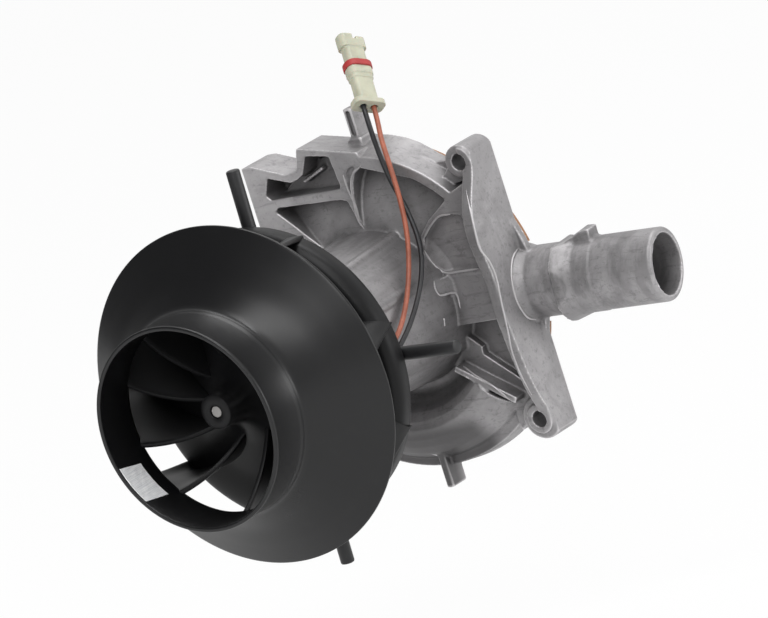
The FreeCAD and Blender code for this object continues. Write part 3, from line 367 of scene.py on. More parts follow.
def turned_steel(name, colour, roughness):
    """Machined steel with fine rings about the motor axis."""
    f = Finish(name)
    angle, radius, station = f.around_axis()
    rings = f.noise(1.0, 3.0, 0.7, f.vector(radius * 5200.0, station * 5200.0, angle * 0.6))
    cloud = f.noise(120.0, 3.0)
    tone = f.mix(cloud, tint(colour, 0.8), tint(colour, 1.1))
    return f.surface(base_color=tone, metallic=1.0, roughness=roughness + 0.12 * (rings - 0.5),
                     normal=f.bump(rings, 0.000012))


def brushed_foil(name, colour):
    """Thin soft foil: fine lines along the axis and shallow creases."""
    f = Finish(name)
    angle, _, station = f.around_axis()
    lines = f.noise(1.0, 2.0, 0.7, f.vector(angle * 260.0, station * 90.0, 0.0))
    crease = f.noise(260.0, 3.0, 0.6, distortion=0.8)
    tone = f.mix(lines.ramp(0.3, 0.7), tint(colour, 0.72), tint(colour, 1.15))
    return f.surface(base_color=tone, metallic=0.15, roughness=0.4 + 0.1 * (crease - 0.5),
                     normal=f.bump(crease * 0.7 + lines * 0.3, 0.00016))


def rubber(name, colour, roughness=0.62):
    """Rubber with a bloomed, slightly uneven skin."""
    f = Finish(name)
    bloom = f.noise(210.0, 4.0, 0.6)
    tone = f.mix(bloom.ramp(0.4, 0.8), colour, tint(colour, 1.35))
    return f.surface(base_color=tone, roughness=roughness + 0.12 * (bloom - 0.5),
                     normal=f.bump(f.noise(1500.0, 2.0), 0.00004))


def sleeve(name, colour):
    """Soft lead sleeve: slightly rubbed along its length, with a waxy sheen."""
    f = Finish(name)
    rub = f.noise(170.0, 5.0, 0.65)
    grime = f.noise(520.0, 3.0, 0.7).ramp(0.5, 0.75)
    tone = f.mix(rub.ramp(0.35, 0.75), tint(colour, 0.8), tint(colour, 1.3))
    tone = f.mix(grime * 0.35, tone, tint(colour, 0.45))
    return f.surface(base_color=tone, roughness=0.42 + 0.15 * (rub - 0.5),
                     normal=f.bump(rub, 0.00006))


def nylon(name, colour):
    """Unfilled cream nylon: slightly see-through, with pale clouds and a soft gloss."""
    f = Finish(name)
    cloud = f.noise(130.0, 4.0, 0.6)
    handled = f.noise(420.0, 3.0, 0.6).ramp(0.55, 0.75)
    tone = f.mix(cloud.ramp(0.3, 0.7), tint(colour, 0.9), tint(colour, 1.08))
    tone = f.mix(handled * 0.25, tone, tint(colour, 0.72))
    return f.surface(base_color=tone, roughness=0.4 + 0.1 * (cloud - 0.5), subsurface_weight=0.12,
                     subsurface_scale=0.002, normal=f.bump(cloud, 0.00006))


def stacked_sheet(name, colour):
    """Steel laminations: thin lines square to the motor axis."""
    f = Finish(name)
    _, _, station = f.around_axis()
    layer = (station * 12500.0).math("SINE").ramp(0.2, 0.9)
    cloud = f.noise(160.0, 3.0)
    tone = f.mix(layer, tint(colour, 0.5), tint(colour, 1.1))
    return f.surface(base_color=tone, metallic=0.8, roughness=0.42 + 0.15 * (cloud - 0.5),
                     normal=f.bump(layer, 0.00004))


def lacquered_copper(name, colour):
    """Lacquered copper wire: close turns and a warm gloss."""
    f = Finish(name)
    _, radius, station = f.around_axis()
    turns = (radius * 9000.0 + station * 2500.0).math("SINE")
    cloud = f.noise(240.0, 4.0)
    tone = f.mix(cloud.ramp(0.3, 0.75), tint(colour, 0.6), tint(colour, 1.2))
    return f.surface(base_color=tone, metallic=0.9, roughness=0.3 + 0.1 * (cloud - 0.5),
                     coat_weight=0.3, normal=f.bump(turns, 0.00006))


def plain_stage(name):
    """Pale floor: white to the camera and to mirror-like surfaces, with the object's shadow."""
    f = Finish(name)
    paths = f.node("ShaderNodeLightPath")
    seen = Signal(f, paths.socket.node.outputs["Is Camera Ray"])
    glossy = Signal(f, paths.socket.node.outputs["Is Glossy Ray"])
    diffuse = f.node("ShaderNodeBsdfDiffuse", None, {"Color": (0.8, 0.8, 0.8, 1.0)})
    glow = f.node("ShaderNodeEmission", None, {"Color": (1.0, 1.0, 1.0, 1.0), "Strength": 1.0})
    white = (seen * 0.94 + glossy * 0.5).clipped()
    mixed = f.node("ShaderNodeMixShader", None, {0: white, 1: diffuse, 2: glow})
    f.tree.links.new(mixed.socket, f.output.inputs[0])
    return f.material


# Surfaces worked out with numpy


def grid_faces(rows, columns, wrap_rows=False, wrap_columns=False):
    """Quads of a grid of points numbered row by row; a wrapped side closes on itself."""
    i = np.arange(rows if wrap_rows else rows - 1)[:, None]
    j = np.arange(columns if wrap_columns else columns - 1)[None, :]
    a = i * columns + j
    b = i * columns + (j + 1) % columns
    c = ((i + 1) % rows) * columns + (j + 1) % columns
    d = ((i + 1) % rows) * columns + j
    return np.stack([a, b, c, d], axis=-1).reshape(-1, 4)


def outward(points, faces):
    """Turns all faces over if the closed surface's signed volume is negative."""
    a, b, c, d = (points[faces[:, k]] for k in range(4))
    volume = (a * (np.cross(b, c) + np.cross(c, d))).sum()
    return faces if volume > 0 else faces[:, ::-1]


def soften(corners, trim, steps):
    """Rounds a closed outline's corners: a parabola from trim before each to trim after it."""
    most = 0.48  # of a side's length
    corners = np.asarray(corners, float)
    trim = np.broadcast_to(np.asarray(trim, float), (len(corners),))[:, None]
    before = np.roll(corners, 1, axis=0) - corners
    after = np.roll(corners, -1, axis=0) - corners
    reach_b = np.linalg.norm(before, axis=1, keepdims=True)
    reach_a = np.linalg.norm(after, axis=1, keepdims=True)
    start = corners + before / reach_b * np.minimum(trim, most * reach_b)
    end = corners + after / reach_a * np.minimum(trim, most * reach_a)
    t = np.linspace(0.0, 1.0, steps)[None, :, None]
    s = 1 - t
    curve = s ** 2 * start[:, None] + 2 * t * s * corners[:, None] + t ** 2 * end[:, None]
    return curve.reshape(-1, corners.shape[1])


def through(points, count):
    """Smooth curve through the points: uniform Catmull-Rom cubics, read evenly by length."""
    fine = 40  # steps in a span
    p = np.asarray(points, float)
    ends = np.vstack([2 * p[0] - p[1], p, 2 * p[-1] - p[-2]])
    spans = len(p) - 1
    s = np.linspace(0.0, spans, fine * spans + 1)
    i = np.minimum(s.astype(int), spans - 1)
    t = (s - i)[:, None]
    a, b, c, d = ends[i], ends[i + 1], ends[i + 2], ends[i + 3]
    dense = 2 * b + (c - a) * t + (2 * a - 5 * b + 4 * c - d) * t ** 2
    dense = 0.5 * (dense + (3 * b - a - 3 * c + d) * t ** 3)
    length = np.concatenate([[0.0], np.cumsum(np.linalg.norm(np.diff(dense, axis=0), axis=1))])
    wanted = np.linspace(0.0, length[-1], count)
    return np.stack([np.interp(wanted, length, dense[:, k]) for k in range(dense.shape[1])], axis=1)


def turned_surface(outline, segments=288):
    """Closed outline of radius r and station turned about the axis: (r cos a, station, r sin a)."""
    outline = np.asarray(outline, float)
    angle = np.linspace(0.0, 2 * math.pi, segments, endpoint=False)
    r, y = outline[:, 0][:, None], outline[:, 1][:, None]
    points = np.stack([r * np.cos(angle), y + 0 * angle, r * np.sin(angle)], axis=-1).reshape(-1, 3)
    faces = grid_faces(len(outline), segments, True, True)
    return points, outward(points, faces)


def capped(points, rows, columns):
    """Closes a tube's first and last rings with a point each; gives points, quads and triangles."""
    grid = points.reshape(rows, columns, 3)
    centres = np.stack([grid[0].mean(axis=0), grid[-1].mean(axis=0)])
    everything = np.vstack([points, centres])
    j = np.arange(columns)
    k = (j + 1) % columns
    first, last = rows * columns, rows * columns + 1
    cap_a = np.stack([np.full(columns, first), k, j], axis=1)
    base = (rows - 1) * columns
    cap_b = np.stack([np.full(columns, last), base + j, base + k], axis=1)
    return everything, grid_faces(rows, columns, False, True), np.vstack([cap_a, cap_b])


def make_piece(name, points, faces, material, body, triangles=None, sharp_angle=40.0):
    """Puts points and faces into a mesh object, shades it smooth and sets it on its body."""
    mesh = bpy.data.meshes.new(name)
    polygons = np.asarray(faces).tolist()
    if triangles is not None:
        polygons += np.asarray(triangles).tolist()
    mesh.from_pydata(np.asarray(points).tolist(), [], polygons)
    mesh.validate()
    piece = bpy.data.objects.new(name, mesh)
    bpy.context.scene.collection.objects.link(piece)
    finish_mesh(mesh, material, sharp_angle)
    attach(piece, body)
    return piece


def finish_mesh(mesh, material, sharp_angle):
    """Gives a mesh its material and smooth shading, with sharp edges past an angle in degrees."""
    mesh.materials.clear()
    mesh.materials.append(material)
    mesh.polygons.foreach_set("use_smooth", np.ones(len(mesh.polygons), bool))
    mesh.set_sharp_from_angle(angle=math.radians(sharp_angle))
    mesh.update()


def joined(parts):
    """One mesh's points, quads and triangles from several (points, quads, triangles) sets."""
    starts = np.cumsum([0] + [len(points) for points, quads, triangles in parts])
    quads = np.vstack([part[1] + start for part, start in zip(parts, starts)])
    triangles = np.vstack([part[2] + start for part, start in zip(parts, starts)])
    return np.vstack([part[0] for part in parts]), quads, triangles


def softened_copy(name, node, cell, passes, material, body, limit=190000):
    """Copy of a node's solid with rounded edges: merged, remeshed in cells, relaxed and thinned."""
    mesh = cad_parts[node].data.copy()
    work = bmesh.new()
    work.from_mesh(mesh)
    bmesh.ops.remove_doubles(work, verts=work.verts, dist=0.000002)
    work.to_mesh(mesh)
    work.free()
    piece = bpy.data.objects.new(name, mesh)
    bpy.context.scene.collection.objects.link(piece)
    cells = piece.modifiers.new("cells", "REMESH")
    cells.mode = "VOXEL"
    cells.voxel_size = cell
    relax = piece.modifiers.new("relax", "SMOOTH")
    relax.factor = 0.5
    relax.iterations = passes
    bake_modifiers(piece)
    triangles = len(piece.data.polygons) * 2
    if triangles > limit:
        thin = piece.modifiers.new("thin", "DECIMATE")
        thin.ratio = limit / triangles
        bake_modifiers(piece)
    finish_mesh(piece.data, material, 60.0)
    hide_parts(node)
    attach(piece, body)


def bake_modifiers(piece):
    """Puts the modifiers' result in place of the piece's mesh."""
    graph = bpy.context.evaluated_depsgraph_get()
    baked = bpy.data.meshes.new_from_object(piece.evaluated_get(graph))
    piece.modifiers.clear()
    old = piece.data
    piece.data = baked
    bpy.data.meshes.remove(old)


def dress(node, material):
    """Gives a node of the frame its finish."""
    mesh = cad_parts[node].data
    mesh.materials.clear()
    mesh.materials.append(material)


# Fan wheel: outlines as (radius, station) in millimetres, angles in degrees

SHROUD_FACE = [(36.4, -116.0), (42.4, -110.6), (49.8, -105.5), (57.0, -100.9)]
SHROUD_BACK = [(34.8, -115.4), (41.2, -109.4), (48.8, -104.2), (56.0, -100.0)]
HUB_FACE = [(5.8, -113.2), (8.4, -106.0), (17.2, -98.2), (31.7, -91.2), (46.1, -87.4),
            (49.5, -84.6)]
COLLAR_FRONT = -134.0
THROAT = -118.6
HUB_REAR = -78.9
FIRST_BLADE = 59.5
BLADE_PITCHES = (48.0, 41.0, 39.0, 39.0, 44.0, 35.0, 36.0, 33.0, 45.0)
ROOT_START = 0.12
ROOT_WRAP = 40.0
TIP_WRAP = 23.1
TIP_LAG = 4.5
FOIL_STATIONS = (COLLAR_FRONT + 0.6, -123.4)
FOIL_ANGLES = (198.2, 221.8)
FOIL_SLANT = 1.6
FOIL_RISE = 0.00025
FOIL_GAP = 0.00001
FOIL_RIPPLE = 0.00005


def collar_radii(sizes):
    """Outer and inner radius of the intake collar, in millimetres."""
    outer = sizes.collar_radius / MM
    return outer, outer - sizes.wall / MM


def shroud_outline(sizes):
    """Collar with a rolled lip, a bead at the throat and the flared cone, as one closed outline."""
    outer, inner = collar_radii(sizes)
    steps = 5
    face = through([(outer, THROAT)] + SHROUD_FACE, 40)
    back = through([(inner, THROAT)] + SHROUD_BACK, 40)[::-1]
    lip = soften([(outer, COLLAR_FRONT + 2), (outer + 0.3, COLLAR_FRONT + 0.9),
                  (outer + 0.1, COLLAR_FRONT), (inner + 0.1, COLLAR_FRONT),
                  (inner, COLLAR_FRONT + 2)], 0.5, steps)[steps:-steps]
    drum = [(outer - 0.02, -126.0)]
    bead = [(outer, -120.6), (outer + 0.15, -119.8), (outer + 0.35, -119.2), (outer + 0.35, -118.7)]
    rim = [(57.15, -100.75), (57.15, -100.15), (57.0, -100.0), (56.4, -100.0)]
    return np.vstack([lip[::-1], drum, bead, face[1:], rim, back]) * MM


def hub_outline():
    """Boss, curved face, axial rear band and hollow back, as one closed outline."""
    face = through(HUB_FACE, 60)
    boss = [(2.1, -116.9), (2.4, -117.2), (5.4, -117.2), (5.8, -116.8)]
    band = [(49.55, -82.5), (49.55, -79.2), (49.3, HUB_REAR), (48.0, HUB_REAR), (47.75, -79.2)]
    back = through([(47.75, -84.0), (45.0, -86.0), (30.9, -89.4), (16.4, -96.4), (7.6, -104.0)], 40)
    stem = [(5.2, -103.0), (5.2, -92.4), (4.8, -92.0), (2.1, -92.0)]
    return np.vstack([boss, face, band, back, stem]) * MM


def blade_surface(root_angle, sizes):
    """One blade. Along s it goes from the leading to the trailing edge, along t from hub to shroud.

    Station and radius blend between the hub's and the shroud's curves with t; the angle about the
    axis is the root's wrap (1 - s)^1.3 blended with the tip's wrap (1 - s)^1.2. A closed loop of s
    with an elliptical nose and tail gives both faces.
    """
    across, along = 30, 44
    t = np.linspace(-0.03, 1.02, across)[:, None]
    loop = np.linspace(0.0, 2 * math.pi, along, endpoint=False)[None, :]
    s = 0.5 - 0.5 * np.cos(loop)
    wave = np.sin(loop)
    half = 0.5 * sizes.blade_thickness * np.clip(np.abs(wave) * 4.0, 0.0, 1.0) ** 0.5
    half = half * np.sign(wave)

    fine = 400
    hub = through(HUB_FACE[1:] + [(49.5, HUB_REAR)], fine) * MM
    tip = through([(collar_radii(sizes)[1], THROAT)] + SHROUD_BACK, fine) * MM
    share = np.linspace(0.0, 1.0, fine)

    def middle(s, t):
        """Point on the blade's middle surface."""
        at = ROOT_START + (1.0 - ROOT_START) * s
        radius = np.interp(at, share, hub[:, 0]) * (1 - t) + np.interp(s, share, tip[:, 0]) * t
        station = np.interp(at, share, hub[:, 1]) * (1 - t) + np.interp(s, share, tip[:, 1]) * t
        root = ROOT_WRAP * (1 - s) ** 1.3
        turn = np.radians(root_angle + root * (1 - t) + (TIP_WRAP * (1 - s) ** 1.2 - TIP_LAG) * t)
        return np.stack([radius * np.cos(turn), station + 0 * turn, radius * np.sin(turn)], axis=-1)

    here = middle(s, t)
    ds = middle(np.clip(s + 0.01, 0, 1), t) - middle(np.clip(s - 0.01, 0, 1), t)
    dt = middle(s, t + 0.01) - middle(s, t - 0.01)
    side = np.cross(ds, dt)
    side /= np.linalg.norm(side, axis=-1, keepdims=True)
    points = (here + side * half[..., None]).reshape(-1, 3)
    return capped(points, across, along)


class BLOWER_OT_fan_wheel(bpy.types.Operator):
    """Builds the shroud, the hub with its unevenly pitched blades, and the balance foil"""

    bl_idname = "blower.fan_wheel"
    bl_label = "Fan wheel"

    def execute(self, context):
        sizes = context.scene.blower_fan
        plastic = moulded_black("moulded fan plastic", tuple(sizes.plastic))
        points, faces = turned_surface(shroud_outline(sizes))
        shroud = make_piece("fan_shroud", points, faces, plastic, "rotor",
                            sharp_angle=50)
        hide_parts("wheel_shroud")

        points, quads = turned_surface(hub_outline())
        parts = [(points, quads, np.zeros((0, 3), int))]
        angle = FIRST_BLADE
        for pitch in BLADE_PITCHES:
            parts.append(blade_surface(angle, sizes))
            angle -= pitch
        points, quads, triangles = joined(parts)
        dull = moulded_black("dull hub plastic", tuple(sizes.plastic), 0.44, 0.24)
        hub = make_piece("fan_hub", points, quads, dull, "rotor", triangles, 50)
        turn_faces_out(hub)
        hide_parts("wheel_hub")

        foil = self.foil(sizes)
        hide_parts("balance_foil")
        return {"FINISHED"}

    def foil(self, sizes):
        """Thin strip on the collar's inner wall; its skin rises by the product of two sines."""
        rows, columns = 30, 60
        y = np.linspace(*FOIL_STATIONS, rows)[:, None] * MM
        slant = np.linspace(-FOIL_SLANT, FOIL_SLANT, rows)[:, None]
        a = np.radians(np.linspace(*FOIL_ANGLES, columns)[None, :] + slant)
        ripple = FOIL_RIPPLE * np.sin(a * 55 + y * 900) * np.sin(y * 700 - a * 20)
        wall = sizes.collar_radius - sizes.wall
        inner = wall - FOIL_RISE + ripple
        outer = np.full_like(inner, wall - FOIL_GAP)
        front = np.stack([inner * np.cos(a), y + 0 * a, inner * np.sin(a)], axis=-1).reshape(-1, 3)
        rear = np.stack([outer * np.cos(a), y + 0 * a, outer * np.sin(a)], axis=-1).reshape(-1, 3)
        flat = grid_faces(rows, columns)
        edge = np.concatenate([
            np.arange(columns), np.arange(1, rows) * columns + columns - 1,
            (rows - 1) * columns + np.arange(columns - 2, -1, -1),
            np.arange(rows - 2, 0, -1) * columns])
        beyond = np.roll(edge, -1)
        count = rows * columns
        side = np.stack([edge, beyond, beyond + count, edge + count], axis=1)
        points = np.vstack([front, rear])
        faces = np.vstack([flat, flat[:, ::-1] + count, side[:, ::-1]])
        return make_piece("balance_strip", points, outward(points, faces),
                          brushed_foil("soft balance foil", tuple(sizes.foil)), "rotor")


def turn_faces_out(piece):
    """Makes every closed shell's faces point outwards."""
    work = bmesh.new()
    work.from_mesh(piece.data)
    bmesh.ops.remove_doubles(work, verts=work.verts, dist=0.000001)
    bmesh.ops.recalc_face_normals(work, faces=work.faces)
    work.to_mesh(piece.data)
    work.free()
    piece.data.update()


# Housing: raised lines in millimetres

CAST_RIDGES = (
    ((8.3, -17.0, 49.2), (3.9, -17.0, 46.7), (1.8, -17.0, 43.0), (0.8, -17.0, 37.4),
     (0.3, -17.0, 31.7), (1.6, -17.0, 27.8)),
    ((0.0, -17.0, 47.2), (0.1, -16.8, 41.3), (1.1, -17.0, 35.6), (0.5, -17.0, 29.4)),
    ((23.8, -17.0, 21.6), (27.9, -17.0, 25.3), (32.4, -17.0, 27.9), (37.1, -17.0, 28.0)),
    ((41.4, -17.0, 8.6), (33.9, -17.0, 8.7), (28.4, -17.1, 8.9), (26.0, -17.1, 10.6),
     (23.9, -17.1, 13.6), (22.5, -17.0, 17.6)),
    ((26.6, -22.4, 8.3), (26.6, -22.9, 5.6), (27.0, -21.9, 3.1), (28.8, -17.9, 2.3),
     (29.3, -16.4, 0.9), (29.0, -16.4, -3.6)),
    ((26.7, -23.4, -4.3), (26.1, -23.6, -7.0)),
    ((47.8, -19.1, 35.4), (49.4, -22.3, 29.7), (49.9, -24.1, 22.3), (49.6, -23.9, 16.6),
     (50.0, -21.6, 11.1), (50.0, -20.8, 5.2), (49.8, -22.0, -3.4), (48.8, -21.8, -12.5),
     (47.4, -21.0, -19.1), (47.0, -19.9, -27.1), (47.2, -17.8, -35.7)),
    ((50.1, -4.4, 10.4), (50.1, -9.4, 8.2), (50.1, -13.1, 2.6), (50.1, -14.1, -4.5),
     (50.1, -11.6, -11.1), (50.1, -7.1, -13.8)),
    ((21.5, -14.5, -23.4), (26.5, -16.0, -27.0), (32.8, -17.0, -31.2), (37.6, -17.0, -36.6)),
)


def ridge_surface(line, radius):
    """Raised line of the casting: a circle carried along a smooth curve, thinner to its ends."""
    rows, columns = 14 * len(line), 10
    lean = (0.31, 0.9, 0.31)  # along none of the lines
    path = through(np.array(line) * MM, rows)
    ahead = np.gradient(path, axis=0)
    ahead /= np.linalg.norm(ahead, axis=1, keepdims=True)
    side = np.cross(ahead, lean)
    side /= np.linalg.norm(side, axis=1, keepdims=True)
    other = np.cross(ahead, side)
    share = np.linspace(0.0, 1.0, rows)
    wide = radius * np.clip(np.minimum(share, 1.0 - share) * 9.0, 0.08, 1.0) ** 0.5
    angle = np.linspace(0.0, 2 * math.pi, columns, endpoint=False)
    cos, sin = np.cos(angle)[None, :, None], np.sin(angle)[None, :, None]
    ring = cos * side[:, None] + sin * other[:, None]
    points = path[:, None] + wide[:, None, None] * ring
    return capped(points.reshape(-1, 3), rows, columns)


class BLOWER_OT_casting(bpy.types.Operator):
    """Rounds the die-cast housing's edges and gives it and its seals their finish"""

    bl_idname = "blower.casting"
    bl_label = "Cast housing"

    def execute(self, context):
        sizes = context.scene.blower_casting
        alloy = cast_skin("die-cast alloy", tuple(sizes.alloy))
        cell = sizes.grain * 1.0
        softened_copy("cast_housing", "blower_housing", cell, sizes.rounding, alloy,
                      "housing")
        worn = cast_skin("worn cast edges", tint(tuple(sizes.alloy), 0.95), region_shading=False)
        ridges = [ridge_surface(line, sizes.ridge_radius) for line in CAST_RIDGES]
        points, quads, triangles = joined(ridges)
        make_piece("cast_ridges", points, quads, worn, "housing", triangles)
        dress("rear_cover", cast_skin("cover alloy", tint(tuple(sizes.alloy), 0.62), region_shading=False))
        seal = rubber("flange seal rubber", tuple(sizes.gasket))
        dress("flange_seal", seal)
        dress("cover_gasket", seal)
        dress("cover_screws", turned_steel("zinc-plated screws", (0.5, 0.5, 0.48), 0.34))
        return {"FINISHED"}


# Support cross

ROD_START = 0.006


def rod_surface(direction, start, end, radius):
    """Round bar: a circle carried along a direction from start to end, drawn in at both ends."""
    direction = Vector(direction).normalized()
    side = direction.cross(Vector((0, 1, 0))).normalized()
    other = direction.cross(side)
    bevel = 0.25 * radius
    along = np.array([0.0, 0.3, 1.0]) * bevel
    stations = np.concatenate([start + along, end - along[::-1]])
    inset = np.array([1.0, 0.3, 0.0]) * bevel
    radii = radius - np.concatenate([inset, inset[::-1]])
    angle = np.linspace(0, 2 * math.pi, 48, endpoint=False)
    d, s, o = (np.array(v) for v in (direction, side, other))
    ring = np.cos(angle)[:, None] * s + np.sin(angle)[:, None] * o
    points = stations[:, None, None] * d + radii[:, None, None] * ring[None]
    return capped(points.reshape(-1, 3), len(stations), len(angle))


class BLOWER_OT_support_cross(bpy.types.Operator):
    """Builds the four rods of the support cross and dresses their hub"""

    bl_idname = "blower.support_cross"
    bl_label = "Support cross"

    def execute(self, context):
        sizes = context.scene.blower_cross
        black = moulded_black("black rod coating", (0.014, 0.014, 0.015), 0.42)
        for index, side in enumerate(("right", "top", "left", "bottom")):
            angle = sizes.turn + math.radians(90 * index)
            direction = (math.cos(angle), 0, math.sin(angle))
            points, quads, caps = rod_surface(direction, ROD_START, sizes.reach, sizes.rod_radius)
            points = points + np.array((0.0, sizes.station, 0.0))
            rod = make_piece("cross_rod_" + side, points, quads, black, "housing",
                             caps, 35)
            turn_faces_out(rod)
            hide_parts("support_rod_" + side)
        dress("support_hub", black)
        return {"FINISHED"}


# Leads and connector: places in millimetres

CONNECTOR_BASE = (15.1, -12.5, 67.0)
CONNECTOR_UP = (-0.4056, 0.563, 0.7116)
CONNECTOR_WIDE = (0.3792, 0.8318, -0.4069)
PIN_PITCH = 4.0
LEAD_IN_HOLE = 6.9
LEAD_STRAIGHT = 4.0
RED_ROUTE = [
    (19.6, -17.3, 56.6),
    (22.9, -21.3, 46.5),
    (24.9, -24.3, 35.5),
    (26.3, -28.0, 25.8),
    (26.6, -33.0, 16.0),
    (27.9, -41.0, 7.5),
    (29.4, -50.5, 0.9),
    (28.2, -58.0, -3.4),
    (21.4, -66.0, -6.1),
]
BLACK_ROUTE = [
    (16.9, -17.4, 54.6),
    (19.6, -19.5, 43.5),
    (26.2, -23.5, 32.4),
    (30.9, -28.8, 21.5),
    (30.6, -33.5, 12.0),
    (30.6, -41.0, 5.0),
    (30.6, -49.0, -0.6),
    (27.6, -57.5, -7.2),
    (20.0, -66.0, -9.8),
]


def connector_axes():
    """Unit vectors across the connector's width and along it."""
    up = np.array(CONNECTOR_UP) / np.linalg.norm(CONNECTOR_UP)
    wide = np.array(CONNECTOR_WIDE)
    wide = wide - up * wide.dot(up)
    wide /= np.linalg.norm(wide)
    return wide, up


def lead_points(route, side):
    """The lead's control points in metres, from its hole in the connector."""
    wide, up = connector_axes()
    base = np.array(CONNECTOR_BASE) + wide * side * PIN_PITCH / 2
    return np.vstack([base + up * LEAD_IN_HOLE, base - up * LEAD_STRAIGHT, np.array(route)]) * MM


def lead_curve(name, points, diameter, material):
    """Smooth round lead: a NURBS curve with the route's points as its control points."""
    data = bpy.data.curves.new(name, "CURVE")
    data.dimensions = "3D"
    data.bevel_depth = diameter / 2
    data.bevel_resolution = 6
    data.resolution_u = 24
    data.use_fill_caps = True
    spline = data.splines.new("NURBS")
    spline.points.add(len(points) - 1)
    spline.points.foreach_set("co", np.hstack([points, np.ones((len(points), 1))]).ravel())
    spline.order_u = 3
    spline.use_endpoint_u = True
    data.materials.append(material)
    lead = bpy.data.objects.new(name, data)
    bpy.context.scene.collection.objects.link(lead)
    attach(lead, "housing")
    return lead


class BLOWER_OT_connector(bpy.types.Operator):
    """Dresses the two-way connector with its seal ring and terminals"""

    bl_idname = "blower.connector"
    bl_label = "Connector"

    def execute(self, context):
        sizes = context.scene.blower_leads
        cream = nylon("cream nylon", tuple(sizes.cream))
        softened_copy("connector_shell", "connector_body", 0.00017, 4, cream,
                      "housing", 120000)
        red = rubber("red seal rubber", tuple(sizes.seal), 0.5)
        softened_copy("connector_ring", "connector_seal", 0.00013, 8, red,
                      "housing", 60000)
        dress("connector_terminals", turned_steel("tinned terminals", (0.6, 0.6, 0.58), 0.25))
        return {"FINISHED"}


class BLOWER_OT_leads(bpy.types.Operator):
    """Lays the red and the black lead from the connector down to the motor's grommet"""

    bl_idname = "blower.leads"
    bl_label = "Leads"

    def execute(self, context):
        sizes = context.scene.blower_leads
        for word, route, side, colour in (
                ("red", RED_ROUTE, 1, sizes.red), ("black", BLACK_ROUTE, -1, sizes.black)):
            points = lead_points(route, side)
            soft = sleeve(word + " sleeve", tuple(colour))
            lead = lead_curve("motor_lead_" + word, points, sizes.diameter, soft)
            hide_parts("lead_" + word)
        dress("lead_grommet", rubber("black grommet rubber", (0.02, 0.02, 0.02)))
        return {"FINISHED"}


# Inside pieces


class BLOWER_OT_inside(bpy.types.Operator):
    """Gives the shaft, the motor's inside pieces and the combustion-air impeller their finishes"""

    bl_idname = "blower.inside"
    bl_label = "Inside pieces"

    def execute(self, context):
        steel = turned_steel("turned steel", (0.36, 0.35, 0.34), 0.42)
        for node in ("motor_shaft", "impeller_clip", "brush_springs"):
            dress(node, steel)
        bearing = turned_steel("bearing steel", (0.58, 0.58, 0.6), 0.2)
        dress("front_bearing", bearing)
        dress("rear_bearing", bearing)
        dress("motor_can", turned_steel("zinc-plated can", (0.46, 0.46, 0.43), 0.38))
        dress("armature_core", stacked_sheet("armature sheet", (0.32, 0.32, 0.33)))
        copper = lacquered_copper("lacquered copper", (0.62, 0.24, 0.09))
        dress("armature_windings", copper)
        dress("commutator", copper)
        dress("motor_magnets", cast_skin("grey ferrite", (0.07, 0.07, 0.075), region_shading=False))
        dress("carbon_brushes", rubber("pressed carbon", (0.03, 0.03, 0.03), 0.5))
        dress("brush_holder", moulded_black("brush holder plastic", (0.012, 0.012, 0.013), 0.45))
        dress("combustion_impeller", moulded_black("impeller plastic", (0.012, 0.012, 0.013), 0.4))
        return {"FINISHED"}


# Stage: places in metres

CAMERA_BACK = (0.6045546, -0.7749911, 0.1842698)
CAMERA_RIGHT = (0.7856279, 0.5423643, -0.2983265)
CAMERA_CENTRE = (0.0, -0.1, 0.0)
CAMERA_OFFSET = (0.0442811, 0.0273487, 2.5585580)  # right, up and back of the centre
# The room's brightness: towards a direction, from one cosine to another, from one level to another
ROOM_GLOWS = (
    ((0.45, 0.88, 0.15), -0.35, 0.55, 0.1, 0.85),
    ((0.6, -0.78, 0.18), 0.55, 0.95, 0.0, 0.35),
)
# Name, place, width, height, power, and whether glossy surfaces mirror the lamp
LAMPS = (
    ("key lamp", (0.42, -0.8, 0.9), 0.35, 1.3, 6.5, True),
    ("edge lamp", (0.5, -0.42, 1.1), 0.25, 0.15, 1.8, True),
    ("left lamp", (-0.42, -1.25, 0.02), 0.35, 0.21, 0.4, True),
    ("fill lamp", (-0.3, -1.3, 0.3), 1.0, 0.6, 7.5, False),
    ("top lamp", (0.1, 0.5, 1.3), 1.0, 0.6, 6.5, True),
    ("right lamp", (1.4, 0.5, 0.1), 0.9, 0.54, 5.0, True),
)
LAMP_TARGET = (0.0, -0.06, 0.0)
FLOOR_HALF = 12.0


